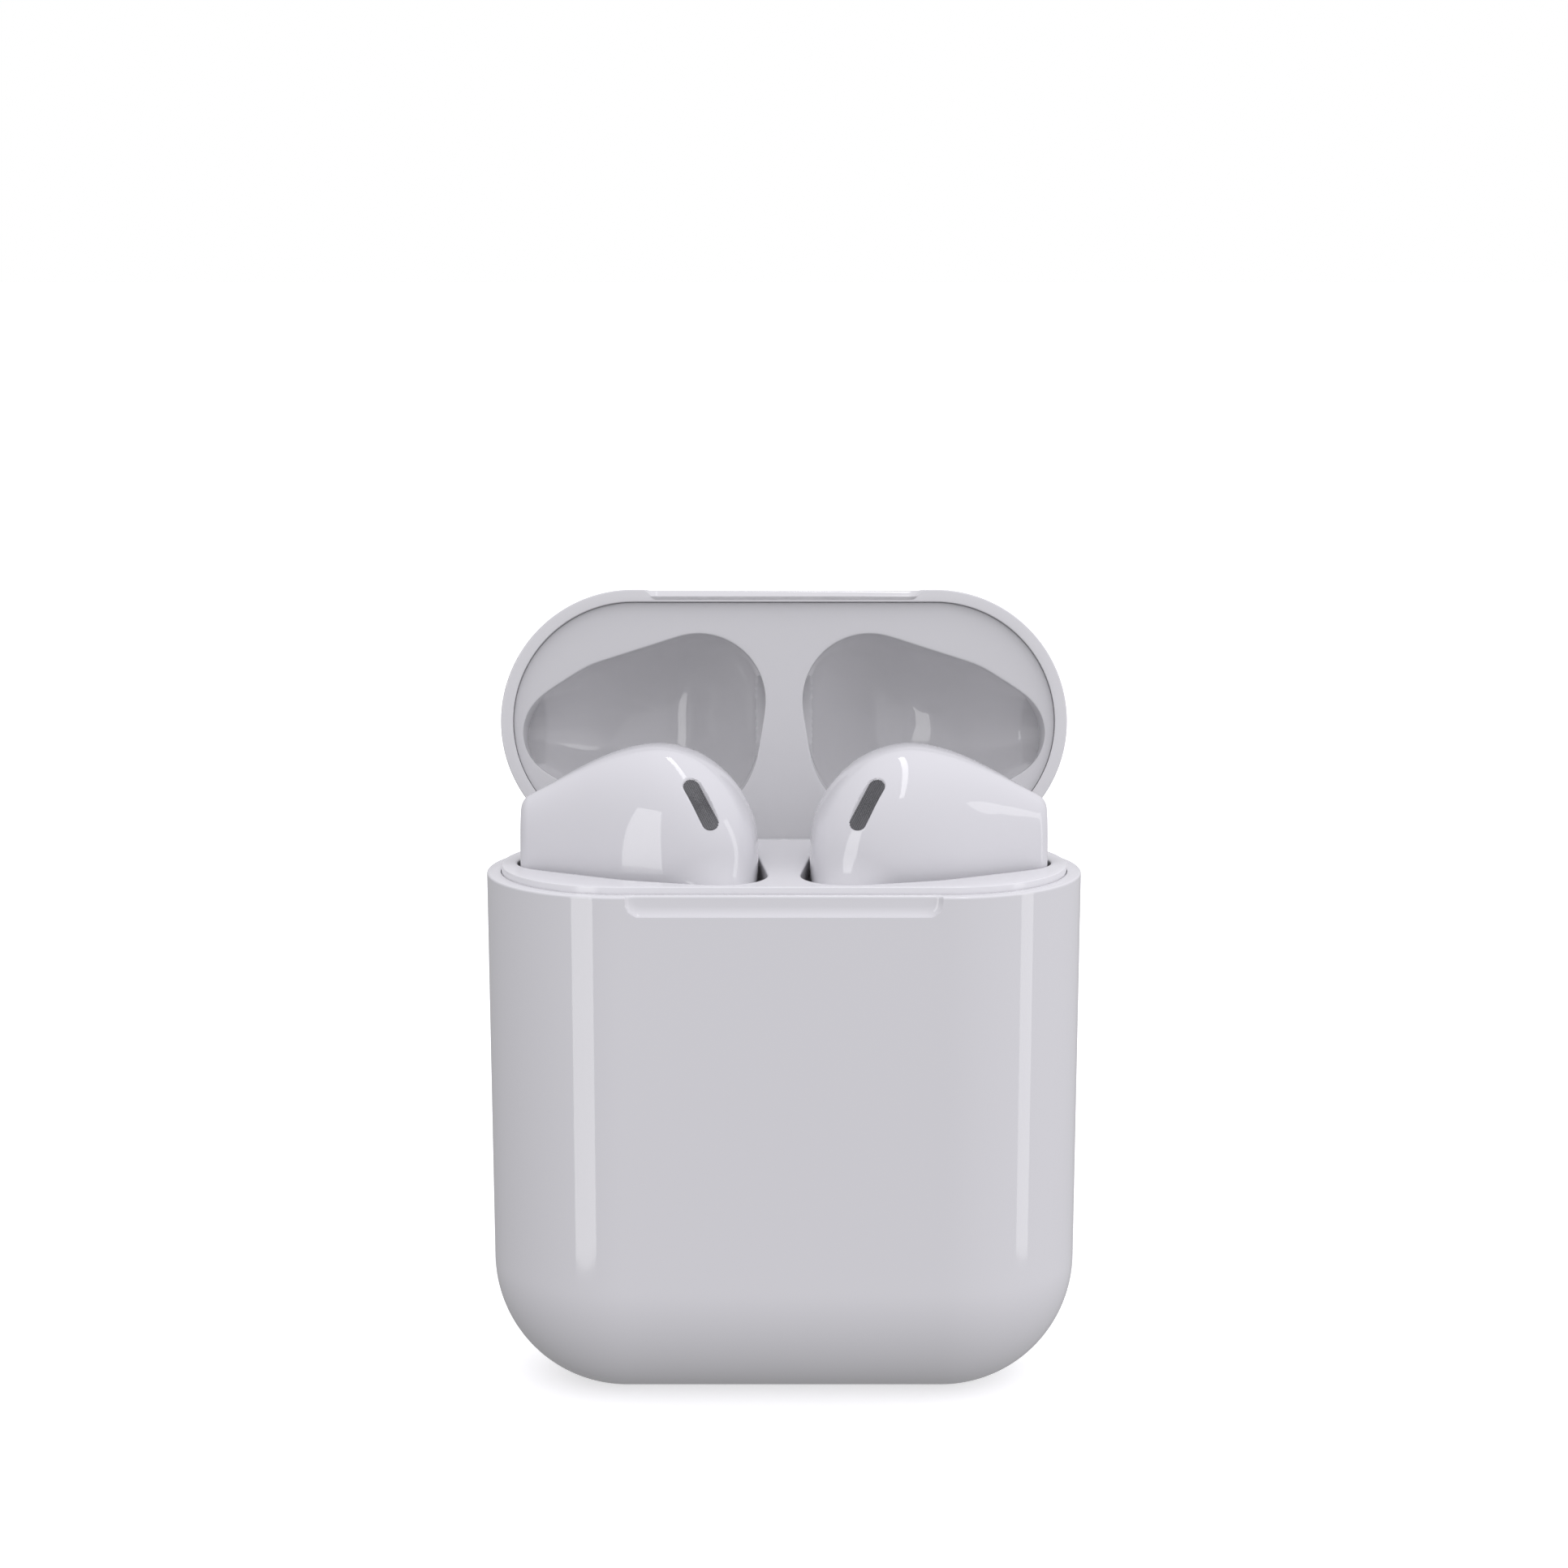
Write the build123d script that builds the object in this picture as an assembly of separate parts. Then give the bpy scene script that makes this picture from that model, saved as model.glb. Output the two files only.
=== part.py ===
"""Wireless earbuds case with its two earbuds: every piece is its own solid in its own STEP file.

Millimetres, +Z up, +X to the right of someone facing the case, the front faces -Y.
The origin is the centre of the flat that the case stands on. The lid is modelled closed and
then swung open about the hinge pin to its stop, which is the rest pose.
Pieces of the left earbud are modelled in place, and mirrored for the right one.
"""
import os
from math import acos, cos, radians, sin, sqrt

from build123d import *

# ---------------------------------------------------------------- case: outside
case_width = 44.3
case_depth = 20.6
body_height = 39.17         # base flat to the rim
lid_height = 13.9           # seam to crown
draft = 0.0055              # the walls lean in by this much per mm towards the base
base_round = 10.0           # radius of the rounded bottom
base_flat_cut = 0.53        # how far the flat cuts into that round
lid_round = 9.6
seam_gap = 0.06
rim_edge = 0.12             # small round on the rim's outer edge
lid_edge = 0.10

# ---------------------------------------------------------------- case: walls and lip
rim_width = 1.085           # outer edge of the rim to the tray's lip
floor_thickness = 1.2
lip_height = 0.52           # the tray stands this far above the rim
tray_plate = 1.3
tray_wall = 0.75
tray_skirt = 5.0
tube_floor = 0.5
lid_wall = 0.95
liner_gap = 0.05            # fine gap between the lid shell and its liner
liner_recess = 0.72         # the liner's face lies this far inside the lid's rim
liner_plate = 0.9
liner_wall = 0.6
fit_gap = 0.05              # between pieces pushed or glued together

# ---------------------------------------------------------------- thumb scoop
scoop_half_width = 11.4
scoop_height = 1.5
scoop_depth = 0.45
lid_scoop_half_width = 11.0
lid_scoop_height = 1.0
lid_scoop_depth = 0.68
scoop_corner = 1.1

# ---------------------------------------------------------------- hinge
lid_angle = 102.45          # open angle from closed
pivot_inset = 0.10          # pin centre, in from the back face
pivot_drop = 0.64           # pin centre, below the rim
pin_radius = 0.40
pin_clearance = 0.03
barrel_radius = 0.90
hinge_half_width = 6.6
knuckle_half_width = 2.4
knuckle_gap = 0.10
bracket_depth = 4.6         # how far the base bracket reaches below the rim
leaf_height = 2.6           # how far the lid leaf reaches above the seam
bracket_plate = 0.9
hinge_slot_gap = 0.08
screw_radius = 0.45
screw_head_radius = 0.85
screw_head = 0.5
screw_spacing = 9.0
lid_screw_spacing = 5.2
foot_thickness = 0.7
foot_inset = 2.2            # screw centres, in from the back face
spring_thickness = 0.2
spring_half_width = 1.9
spring_foot = 1.2

# ---------------------------------------------------------------- earbud
bud_height = 40.5
stem_radius = 2.95
stem_x = -4.6
stem_y = -4.9
stem_wall = 0.55
stem_top = -2.5             # where the stem's straight part ends, from the rim
head_wall = 0.8
well_clearance = 0.30
pocket_clearance = 0.45

# Sections of the left head across X: place, front, back, bottom and top, from the rim's centre.
HEAD = [
    (-19.6, -1.1, 2.5, -2.9, 4.4),
    (-19.2, -1.5, 2.9, -3.4, 5.1),
    (-17.9, -2.3, 3.8, -4.3, 6.0),
    (-16.0, -3.3, 5.2, -5.4, 7.1),
    (-13.0, -4.8, 7.0, -6.6, 8.5),
    (-9.8, -5.9, 7.9, -7.0, 9.25),
    (-6.8, -6.35, 7.5, -6.6, 8.8),
    (-4.4, -5.9, 6.2, -5.3, 7.3),
    (-2.9, -4.9, 4.4, -3.6, 5.4),
    (-2.05, -2.9, 2.0, -1.2, 3.2),
]
# Circles in plan whose common outline is the mouth of a well: centre x, centre y, radius.
WELL_MOUTH = [(-17.0, -0.1, 2.95), (-9.2, -1.1, 5.95), (-4.7, -5.0, 3.5), (-8.85, 1.3, 6.95)]
# The same for a pocket in the lid's liner, with the lid closed.
POCKET_MOUTH = [(-16.9, 0.9, 3.55), (-6.7, -1.65, 5.2), (-8.7, 1.35, 7.05)]
mouth_depth = 1.6
pocket_straight = 2.4
rear_cap_y = 3.4            # the rear cap starts behind this plane
vent_length = 4.1
vent_width = 1.25
vent_recess = 0.45
mesh_thickness = 0.12

# ---------------------------------------------------------------- base electronics
battery_size = (29.0, 5.2, 18.0)
battery_gap = 0.4
tape_thickness = 0.25
board_thickness = 0.8
board_size = (27.0, 19.0)
button_radius = 2.7
button_clearance = 0.12
button_travel = 0.3
button_height_z = 20.0
port_width = 8.94
port_depth = 3.26
port_length = 6.5
port_wall = 0.3
port_inset = 0.35
tongue_size = (6.69, 0.7, 4.4)
contact_spacing = 2.4
contact_travel = 0.4
plunger_radius = 0.35
plunger_collar = 0.55
magnet_size = (4.0, 1.0, 3.0)

# ---------------------------------------------------------------- worked out from the above
half_width = case_width / 2
half_depth = case_depth / 2
straight = half_width - half_depth
rim_z = body_height
round_z = base_round - base_flat_cut
round_y = half_depth - draft * (rim_z - round_z) - base_round * sqrt(1 + draft**2)
inner_inset = rim_width - fit_gap
pivot = (0, half_depth - pivot_inset, rim_z - pivot_drop)
lid_axis = Axis(pivot, (-1, 0, 0))
bud_top = max(row[4] for row in HEAD)
stem_bottom_z = rim_z + bud_top - bud_height
tube_floor_z = stem_bottom_z - contact_travel - 0.02
foot_top_z = rim_z - bracket_depth + foot_thickness
spring_y = half_depth - 1.33


def pill(profile):
    """Stadium-shaped solid: a half profile in the YZ plane drawn along X, with turned ends."""
    middle = extrude(profile + mirror(profile, about=Plane.XZ), amount=straight, both=True)
    end = revolve(Pos(straight, 0, 0) * profile, Axis((straight, 0, 0), (0, 0, 1)), 180)
    if end.bounding_box().max.X < straight + 1:
        end = revolve(Pos(straight, 0, 0) * profile, Axis((straight, 0, 0), (0, 0, 1)), -180)
    return middle + end + mirror(end, about=Plane.YZ)


def half_face(*edges):
    """Face in the YZ plane from edges that start and end on the Z axis."""
    outline = Wire(list(edges))
    return Face(Wire(list(edges) + [Line(outline @ 1, outline @ 0)]))


def body_profile(inset, top, floor):
    """Half section of the case body, inset from its outside, with a flat floor."""
    radius = base_round - inset
    slope = sqrt(1 + draft**2)
    wall_top = half_depth - draft * (rim_z - top) - inset * slope
    turn = acos((round_z - floor) / radius)
    flat = round_y + radius * sin(turn)
    tangent = (0, round_y + radius / slope, round_z - radius * draft / slope)
    middle_turn = (turn + radians(90)) / 2
    middle = (0, round_y + radius * sin(middle_turn), round_z - radius * cos(middle_turn))
    return half_face(
        Line((0, 0, floor), (0, flat, floor)),
        ThreePointArc((0, flat, floor), middle, tangent),
        Line(tangent, (0, wall_top, top)),
        Line((0, wall_top, top), (0, 0, top)),
    )


def lid_profile(inset, bottom):
    """Half section of the closed lid, inset from its outside."""
    radius = lid_round - inset
    wall = half_depth - inset
    centre_y = half_depth - lid_round
    centre_z = rim_z + lid_height - lid_round
    diagonal = radius * sin(radians(45))
    return half_face(
        Line((0, 0, bottom), (0, wall, bottom)),
        Line((0, wall, bottom), (0, wall, centre_z)),
        ThreePointArc((0, wall, centre_z), (0, centre_y + diagonal, centre_z + diagonal),
                      (0, centre_y, centre_z + radius)),
        Line((0, centre_y, centre_z + radius), (0, 0, centre_z + radius)),
    )


def block(x0, x1, y0, y1, z0, z1):
    """Box between two corners."""
    size = (x1 - x0, y1 - y0, z1 - z0)
    return Pos((x0 + x1) / 2, (y0 + y1) / 2, (z0 + z1) / 2) * Box(*size)


def rod(x, y, z0, z1, radius):
    """Upright cylinder between two heights."""
    return Pos(x, y, (z0 + z1) / 2) * Cylinder(radius, z1 - z0)


def cross_rod(x0, x1, y, z, radius):
    """Cylinder along X."""
    return Pos((x0 + x1) / 2, y, z) * Rot(0, 90, 0) * Cylinder(radius, x1 - x0)


def mouth(circles, grow, z0, z1):
    """Prism whose outline wraps a set of circles."""
    edges = [Pos(x, y, 0) * Edge.make_circle(radius + grow) for x, y, radius in circles]
    return extrude(Pos(0, 0, z0) * make_hull(edges), amount=z1 - z0)


def head_solid(grow):
    """Left head, grown or shrunk all round, lofted through elliptical sections across X."""
    rows = HEAD
    first, last = rows[0][0] - grow, rows[-1][0] + grow
    faces = []
    for i, (x, front, back, bottom, top) in enumerate(rows):
        share = (x - rows[0][0]) / (rows[-1][0] - rows[0][0])
        place = first + share * (last - first)
        plane = Plane(origin=(place, (front + back) / 2, rim_z + (bottom + top) / 2),
                      x_dir=(0, 1, 0), z_dir=(1, 0, 0))
        faces.append(plane * Ellipse((back - front) / 2 + grow, (top - bottom) / 2 + grow))
    return loft(faces)


def stem_solid(grow, z0):
    """Left stem, grown or shrunk, with its round top inside the head."""
    radius = stem_radius + grow
    top = rim_z + stem_top
    return rod(stem_x, stem_y, z0, top, radius) + Pos(stem_x, stem_y, top) * Sphere(radius)


def both_sides(solid):
    """A piece and its mirror image on the other side of the case."""
    return solid, mirror(solid, about=Plane.YZ)


def rounded_slot(length, width, z0, z1):
    """Upright prism with a stadium outline, centred on the Z axis."""
    return extrude(Pos(0, 0, z0) * SlotOverall(length, width), amount=z1 - z0)


def scoop(half, height, depth, edge_z, upwards):
    """Shallow thumb scoop across the front face, deepest at the seam."""
    way = 1 if upwards else -1
    front = -half_depth
    far = edge_z + way * height
    slope = Polyline((0, front - 1, edge_z - way), (0, front + depth, edge_z - way),
                     (0, front + depth, edge_z), (0, front + depth / 4, far),
                     (0, front - 1, far), close=True)
    wedge = extrude(Face(Wire(slope.edges())), amount=half, both=True)
    window = Plane((0, front, edge_z - way * scoop_corner), x_dir=(1, 0, 0), z_dir=(0, 1, 0))
    tall = 2 * (height + scoop_corner)
    rounded = window * RectangleRounded(2 * half, tall, scoop_corner)
    return wedge & extrude(rounded, amount=2, both=True)


# ================================================================ case base
def make_case_shell():
    """Outer shell, open at the top, with the scoop, the hinge notch, the port and button holes."""
    outer = pill(body_profile(0, rim_z, 0))
    outer = fillet(outer.faces().sort_by(Axis.Z)[-1].edges(), rim_edge)
    shell = outer - pill(body_profile(inner_inset, rim_z + 1, floor_thickness))
    shell -= scoop(scoop_half_width, scoop_height, scoop_depth, rim_z, upwards=False)
    notch = hinge_half_width + hinge_slot_gap
    shell -= block(-notch, notch, half_depth - 1.6, half_depth + 1,
                   rim_z - bracket_depth - hinge_slot_gap, rim_z + 1)
    shell -= rounded_slot(port_width + 2 * fit_gap, port_depth + 2 * fit_gap, -1, 3)
    hole = button_radius + button_clearance
    shell -= Pos(0, half_depth, button_height_z) * Rot(90, 0, 0) * Cylinder(hole, 4)
    return shell


def make_inner_tray():
    """Tray with a raised lip, two wells for the heads and two tubes for the stems."""
    top = rim_z + lip_height
    room = pill(body_profile(rim_width, top, floor_thickness + fit_gap))
    hollow = pill(body_profile(rim_width + tray_wall, top - tray_plate, floor_thickness + 1))
    wide, deep = half_width, half_depth
    upper = block(-wide, wide, -deep, deep, rim_z - tray_skirt, top)
    tray = (room - hollow) & upper
    below = block(-wide, wide, -deep, deep, 0, top - tray_plate / 2)
    tube = stem_radius + well_clearance + tray_wall
    bowl = head_solid(well_clearance + tray_wall) & below
    bowl += rod(stem_x, stem_y, tube_floor_z - tube_floor, rim_z - 1, tube)
    bowl += mouth(WELL_MOUTH, tray_wall, top - mouth_depth - tray_wall, top)
    well = head_solid(well_clearance) + stem_solid(well_clearance, tube_floor_z)
    well += mouth(WELL_MOUTH, 0, top - mouth_depth, top + 1)
    for side in (-1, 1):
        x = stem_x + side * contact_spacing / 2
        well += rod(x, stem_y, tube_floor_z - 2, tube_floor_z + 1, plunger_radius + 0.1)
    for piece in both_sides(bowl & room):
        tray += piece
    boss_y = half_depth - foot_inset
    for side in (-1, 1):
        tray += rod(side * screw_spacing / 2, boss_y, foot_top_z + 0.1, rim_z - 0.5, 0.95)
    for piece in both_sides(well):
        tray -= piece
    foot_half = screw_spacing / 2 + 1.1
    tray -= block(-foot_half - 0.1, foot_half + 0.1, half_depth - foot_inset - 1.3, half_depth,
                  foot_top_z - foot_thickness - 1, foot_top_z + 0.1)
    tray -= block(-2.3, 2.3, spring_y - 0.1, half_depth, foot_top_z - 0.5, rim_z - 0.15)
    tray -= block(-2.3, 2.3, spring_y - 1.4, half_depth, foot_top_z - 0.5, foot_top_z + 0.35)
    for side in (-1, 1):
        tray -= rod(side * screw_spacing / 2, boss_y, foot_top_z - 1, rim_z - 1.2,
                    screw_radius + 0.02)
    return tray


def knuckle(x0, x1, bore):
    """One knuckle of the hinge barrel with its pin bore."""
    return (cross_rod(x0, x1, pivot[1], pivot[2], barrel_radius)
            - cross_rod(x0 - 1, x1 + 1, pivot[1], pivot[2], bore))


def make_hinge_bracket():
    """Metal plate set in the back wall, with two outer knuckles and a foot for its screws."""
    face = half_depth - 0.04
    low = rim_z - bracket_depth
    bracket = block(-hinge_half_width, hinge_half_width, face - bracket_plate, face, low, pivot[2])
    bracket -= cross_rod(-8, 8, pivot[1], pivot[2], barrel_radius - 0.1)
    middle = knuckle_half_width + knuckle_gap
    bracket -= block(-middle, middle, face - 2, face + 2, pivot[2] - barrel_radius - 0.15, rim_z + 1)
    for side in (-1, 1):
        inner, outer = sorted((side * middle, side * hinge_half_width))
        bracket += knuckle(inner, outer, pin_radius + 0.02)
    foot_half = screw_spacing / 2 + 1.1
    bracket += block(-foot_half, foot_half, half_depth - foot_inset - 1.1, face - 0.1,
                     foot_top_z - foot_thickness, foot_top_z)
    for side in (-1, 1):
        bracket -= rod(side * screw_spacing / 2, half_depth - foot_inset, low - 1, foot_top_z + 1,
                       screw_radius + 0.05)
    return bracket


def make_hinge_pin():
    """Steel pin through the whole barrel."""
    return cross_rod(-hinge_half_width + 0.1, hinge_half_width - 0.1, pivot[1], pivot[2], pin_radius)


def make_hinge_spring():
    """Leaf spring that bears on the middle knuckle and snaps the lid over."""
    half, back, seat = spring_half_width, spring_y + spring_thickness, foot_top_z
    blade = block(-half, half, spring_y, back, seat, rim_z - 0.4)
    return blade + block(-half, half, spring_y - spring_foot, back, seat, seat + spring_thickness)


def screw(x, y, seat_z, length, up):
    """Small pan-head screw whose shank runs from its seat, up or down."""
    way = 1 if up else -1
    shank = sorted((seat_z, seat_z + way * length))
    head = sorted((seat_z, seat_z - way * screw_head))
    return rod(x, y, *shank, screw_radius) + rod(x, y, *head, screw_head_radius)


def make_hinge_screws():
    """Two screws from below, through the bracket's foot into the tray."""
    y = half_depth - foot_inset
    seat = foot_top_z - foot_thickness
    return [screw(side * screw_spacing / 2, y, seat, 2.6, up=True) for side in (-1, 1)]


# ================================================================ electronics in the base
bowl_bottom_z = rim_z + min(row[3] for row in HEAD) - well_clearance - tray_wall
battery_top = bowl_bottom_z - 0.6
battery_y = stem_y + stem_radius + well_clearance + tray_wall + battery_gap
tape_y = battery_y + battery_size[1]
board_y = tape_y + tape_thickness
board_back = board_y + board_thickness
board_top = battery_top - 0.2
board_bottom = board_top - board_size[1]
switch_top = 1.3
flex = 0.15
under_plate_z = rim_z + lip_height - tray_plate - fit_gap


def make_battery_cell():
    """Pouch cell with rounded edges."""
    long, thick, tall = battery_size
    cell = block(-long / 2, long / 2, battery_y, tape_y, battery_top - tall, battery_top)
    return fillet(cell.edges().filter_by(Axis.Z), 1.2)


def make_battery_tape():
    """Adhesive sheet between the cell and the board."""
    long, _, tall = battery_size
    half = long / 2 - 1.5
    return block(-half, half, tape_y, board_y, battery_top - tall + 1, battery_top - 1)


def make_main_board():
    """Circuit board behind the battery."""
    half = board_size[0] / 2
    return block(-half, half, board_y, board_back, board_bottom, board_top)


def make_board_chips():
    """Packages soldered on the back of the main board."""
    chips = []
    for x, z, wide, tall, thick in ((-9.0, 6.0, 5.0, 5.0, 0.9), (-9.5, -3.5, 3.2, 2.6, 0.8),
                                    (8.8, 5.5, 4.0, 4.0, 0.9), (8.8, -1.5, 3.0, 3.0, 1.0),
                                    (9.2, -6.2, 2.0, 1.25, 0.7)):
        middle = (board_top + board_bottom) / 2 + z
        chips.append(block(x - wide / 2, x + wide / 2, board_back, board_back + thick,
                           middle - tall / 2, middle + tall / 2))
    return chips


def make_button_switch():
    """Dome switch on the board behind the setup button."""
    z = button_height_z
    body = block(-2, 2, board_back, board_back + switch_top, z - 2, z + 2)
    tip = Pos(0, board_back + switch_top + 0.12, z) * Rot(90, 0, 0) * Cylinder(0.8, 0.24)
    return body + tip


def y_rod(y0, y1, z, radius):
    """Cylinder along Y on the case's middle plane."""
    return Pos(0, (y0 + y1) / 2, z) * Rot(90, 0, 0) * Cylinder(radius, y1 - y0)


back_face_y = half_depth - draft * (rim_z - button_height_z) - 0.03
inner_back_y = half_depth - draft * (rim_z - button_height_z) - inner_inset
flange_y = inner_back_y - 0.12
plunger_y = board_back + switch_top + 0.24 + button_travel + 0.03


def make_setup_button():
    """Round cap in the back wall, with a flange and a plunger that reaches the switch."""
    z = button_height_z
    cap = y_rod(flange_y - 0.4, back_face_y, z, button_radius)
    cap = fillet(cap.faces().sort_by(Axis.Y)[-1].edges(), 0.15)
    flange = y_rod(flange_y - 0.4, flange_y, z, button_radius + 0.5)
    return cap + flange + y_rod(plunger_y, flange_y - 0.3, z, 1.2)


def make_button_frame():
    """Ring glued inside the back wall that holds and guides the setup button."""
    z = button_height_z
    ring = y_rod(flange_y - 1.3, inner_back_y - 0.12, z, button_radius + 1.5)
    ring -= y_rod(flange_y - 0.8, inner_back_y + 1, z, button_radius + 0.62)
    return ring - y_rod(flange_y - 3, flange_y, z, 1.32)


def make_port_shell():
    """Stamped metal shell of the charging socket, open downwards."""
    top = port_inset + port_length
    outer = rounded_slot(port_width, port_depth, port_inset, top)
    return outer - rounded_slot(port_width - 2 * port_wall, port_depth - 2 * port_wall, 0, top - 0.4)


def make_port_tongue():
    """Contact tongue and its base, inside the socket."""
    base_top = port_inset + port_length - 0.4
    base = rounded_slot(port_width - 2 * port_wall - 0.1, port_depth - 2 * port_wall - 0.1,
                        base_top - 1.2, base_top)
    wide, thick, long = tongue_size
    tip_z = base_top - 1.2 - long
    return base + block(-wide / 2, wide / 2, -thick / 2, thick / 2, tip_z, base_top - 1)


def make_port_seal():
    """Rubber gasket round the socket, on the floor of the shell."""
    z0, z1 = floor_thickness, floor_thickness + 0.7
    return (rounded_slot(port_width + 1.4, port_depth + 1.4, z0, z1)
            - rounded_slot(port_width + 0.06, port_depth + 0.06, z0 - 1, z1 + 1))


port_board_z = port_inset + port_length
port_board_thickness = 0.6
tab_half_width = 1.2
tab_clearance = 0.493
tube_outside = stem_radius + well_clearance + tray_wall
tube_reach = sqrt(max(tube_outside**2 - (abs(stem_x) - tab_half_width) ** 2, 0))
port_tab_y = stem_y + tube_reach + tab_clearance        # the tab passes behind the stem tubes


def make_port_board():
    """Small board on top of the charging socket."""
    z0, z1 = port_board_z, port_board_z + port_board_thickness
    front = battery_y - battery_gap + 0.1
    board = block(-7, 7, front, 3.6, z0, z1)
    return board + block(-tab_half_width, tab_half_width, port_tab_y, front, z0, z1)


def make_port_flex():
    """Flex strip from the port board up to the main board."""
    z = port_board_z + port_board_thickness
    return (block(-2.5, 2.5, 1.0, board_y, z, z + flex)
            + block(-2.5, 2.5, board_y - flex, board_y, z, board_bottom + 1.2))


contact_top_z = tube_floor_z - tube_floor
contact_base_z = contact_top_z - 2.8
collar_top_z = contact_top_z - 0.6
collar_height = 0.55
chamber_z = contact_base_z + 0.5


def make_contact_block():
    """Holder of the two sprung pins under the left well."""
    half, deep = contact_spacing / 2 + 1.2, 1.4
    holder = block(stem_x - half, stem_x + half, stem_y - deep, stem_y + deep,
                   contact_base_z, contact_top_z)
    for side in (-1, 1):
        x = stem_x + side * contact_spacing / 2
        holder -= rod(x, stem_y, chamber_z, collar_top_z, plunger_collar + 0.06)
        holder -= rod(x, stem_y, chamber_z, contact_top_z + 1, plunger_radius + 0.06)
    return holder


def make_contact_pin(x):
    """Sprung pin: a shaft with a collar, touching the end of the stem."""
    collar_z = collar_top_z - 0.02
    return (rod(x, stem_y, collar_z - collar_height, stem_bottom_z, plunger_radius)
            + rod(x, stem_y, collar_z - collar_height, collar_z, plunger_collar))


def make_contact_spring(x):
    """Coil spring under a contact pin."""
    wire = 0.06
    top = collar_top_z - 0.02 - collar_height - wire - 0.01
    bottom = chamber_z + wire + 0.01
    radius = plunger_collar - wire - 0.04
    path = Pos(x, stem_y, bottom) * Helix(pitch=0.3, height=top - bottom, radius=radius)
    section = Plane(origin=path @ 0, z_dir=path % 0) * Circle(wire)
    return sweep(section, path=path, is_frenet=True)


def make_contact_flex():
    """Flex under both contact blocks, with a tab up to the port board."""
    z = contact_base_z
    sheet = block(-7.4, 7.4, stem_y - 1.1, stem_y + 1.3, z - flex, z)
    half = tab_half_width
    sheet += block(-half, half, stem_y + 1, port_tab_y - flex, z - flex, z)
    tab_top = port_board_z + port_board_thickness
    return sheet + block(-half, half, port_tab_y - 2 * flex, port_tab_y - flex + 0.001, z - flex, tab_top)


def make_sensor_flex():
    """Flex strip from the main board up to the middle of the tray."""
    return block(-1.5, 1.5, board_back, board_back + flex, board_top - 2.5, under_plate_z)


def make_hall_sensor():
    """Sensor that reads the lid's magnet."""
    y = board_back + flex
    return block(-1.0, 1.0, y, y + 0.7, rim_z - 3.4, rim_z - 2.2)


def make_status_led():
    """Small light under the tray's middle, which shines through it."""
    y = board_back + flex
    return block(-0.8, 0.8, y, y + 0.7, rim_z - 1.6, under_plate_z)


latch_x = straight - 1.1       # on the straight stretch of the front wall
magnet_y = -half_depth + rim_width + tray_wall + 0.06


def make_base_magnets():
    """Two magnets under the tray's front edge."""
    wide, deep, tall = magnet_size
    top = rim_z + lip_height - mouth_depth - tray_wall - 0.1
    return [block(x - wide / 2, x + wide / 2, magnet_y, magnet_y + deep, top - tall, top)
            for x in (-latch_x, latch_x)]


def make_well_magnets():
    """Magnet on the outer side of each stem tube, which holds the earbud down."""
    x = stem_x - stem_radius - well_clearance - tray_wall - 0.05
    left = block(x - 1.2, x, stem_y - 1.5, stem_y + 1.5, 22, 27)
    return list(both_sides(left))


# ================================================================ lid, modelled closed
def make_lid_shell():
    """Domed lid shell with its scoop and hinge notch."""
    seam = rim_z + seam_gap
    outer = pill(lid_profile(0, seam))
    outer = fillet(outer.faces().sort_by(Axis.Z)[0].edges(), lid_edge)
    shell = outer - pill(lid_profile(lid_wall, rim_z - 1))
    shell -= scoop(lid_scoop_half_width, lid_scoop_height, lid_scoop_depth, seam, upwards=True)
    notch = hinge_half_width + hinge_slot_gap
    return shell - block(-notch, notch, half_depth - 1.6, half_depth + 1,
                         rim_z - 1, rim_z + leaf_height + hinge_slot_gap)


def make_lid_liner():
    """Liner plate with two pockets that cover the heads."""
    face = rim_z + liner_recess
    back = face + liner_plate
    room = pill(lid_profile(lid_wall + liner_gap, face))
    wide, deep = half_width, half_depth
    liner = room & block(-wide, wide, -deep, deep, face, back)
    above = block(-wide, wide, -deep, deep, face, rim_z + 40)
    straight_top = rim_z + pocket_straight
    pocket = (head_solid(pocket_clearance) & block(-wide, wide, -deep, deep, face - 1, rim_z + 40))
    pocket += mouth(POCKET_MOUTH, 0, face - 1, straight_top)
    cover = head_solid(pocket_clearance + liner_wall) & above
    cover += mouth(POCKET_MOUTH, liner_wall, face, straight_top + liner_wall)
    for piece in both_sides(cover & room):
        liner += piece
    for piece in both_sides(pocket):
        liner -= piece
    for side in (-1, 1):
        liner -= rod(side * lid_screw_spacing / 2, half_depth - foot_inset, back - 0.7, back + 1,
                     screw_radius + 0.02)
    notch = hinge_half_width + 0.2
    top = rim_z + leaf_height + 1
    return liner - block(-notch, notch, half_depth - 1.15, half_depth, face - 1, top)


lid_foot_z = rim_z + liner_recess + liner_plate


def make_lid_leaf():
    """Metal plate set in the lid's back wall, with the middle knuckle and a screw foot."""
    face = half_depth - 0.04
    low = rim_z + barrel_radius - pivot_drop + 0.1
    leaf = block(-hinge_half_width, hinge_half_width, face - bracket_plate + 0.1, face,
                 low, rim_z + leaf_height)
    leaf += block(-knuckle_half_width, knuckle_half_width, face - bracket_plate + 0.1, face,
                  pivot[2], low + 0.2)
    leaf -= cross_rod(-8, 8, pivot[1], pivot[2], barrel_radius - 0.1)
    leaf += knuckle(-knuckle_half_width, knuckle_half_width, pin_radius + pin_clearance)
    leaf += block(-3.4, 3.4, half_depth - foot_inset - 1.1, face - 0.1,
                  lid_foot_z, lid_foot_z + foot_thickness)
    for side in (-1, 1):
        leaf -= rod(side * lid_screw_spacing / 2, half_depth - foot_inset, lid_foot_z - 1,
                    lid_foot_z + 2, screw_radius + 0.05)
    return leaf


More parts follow.
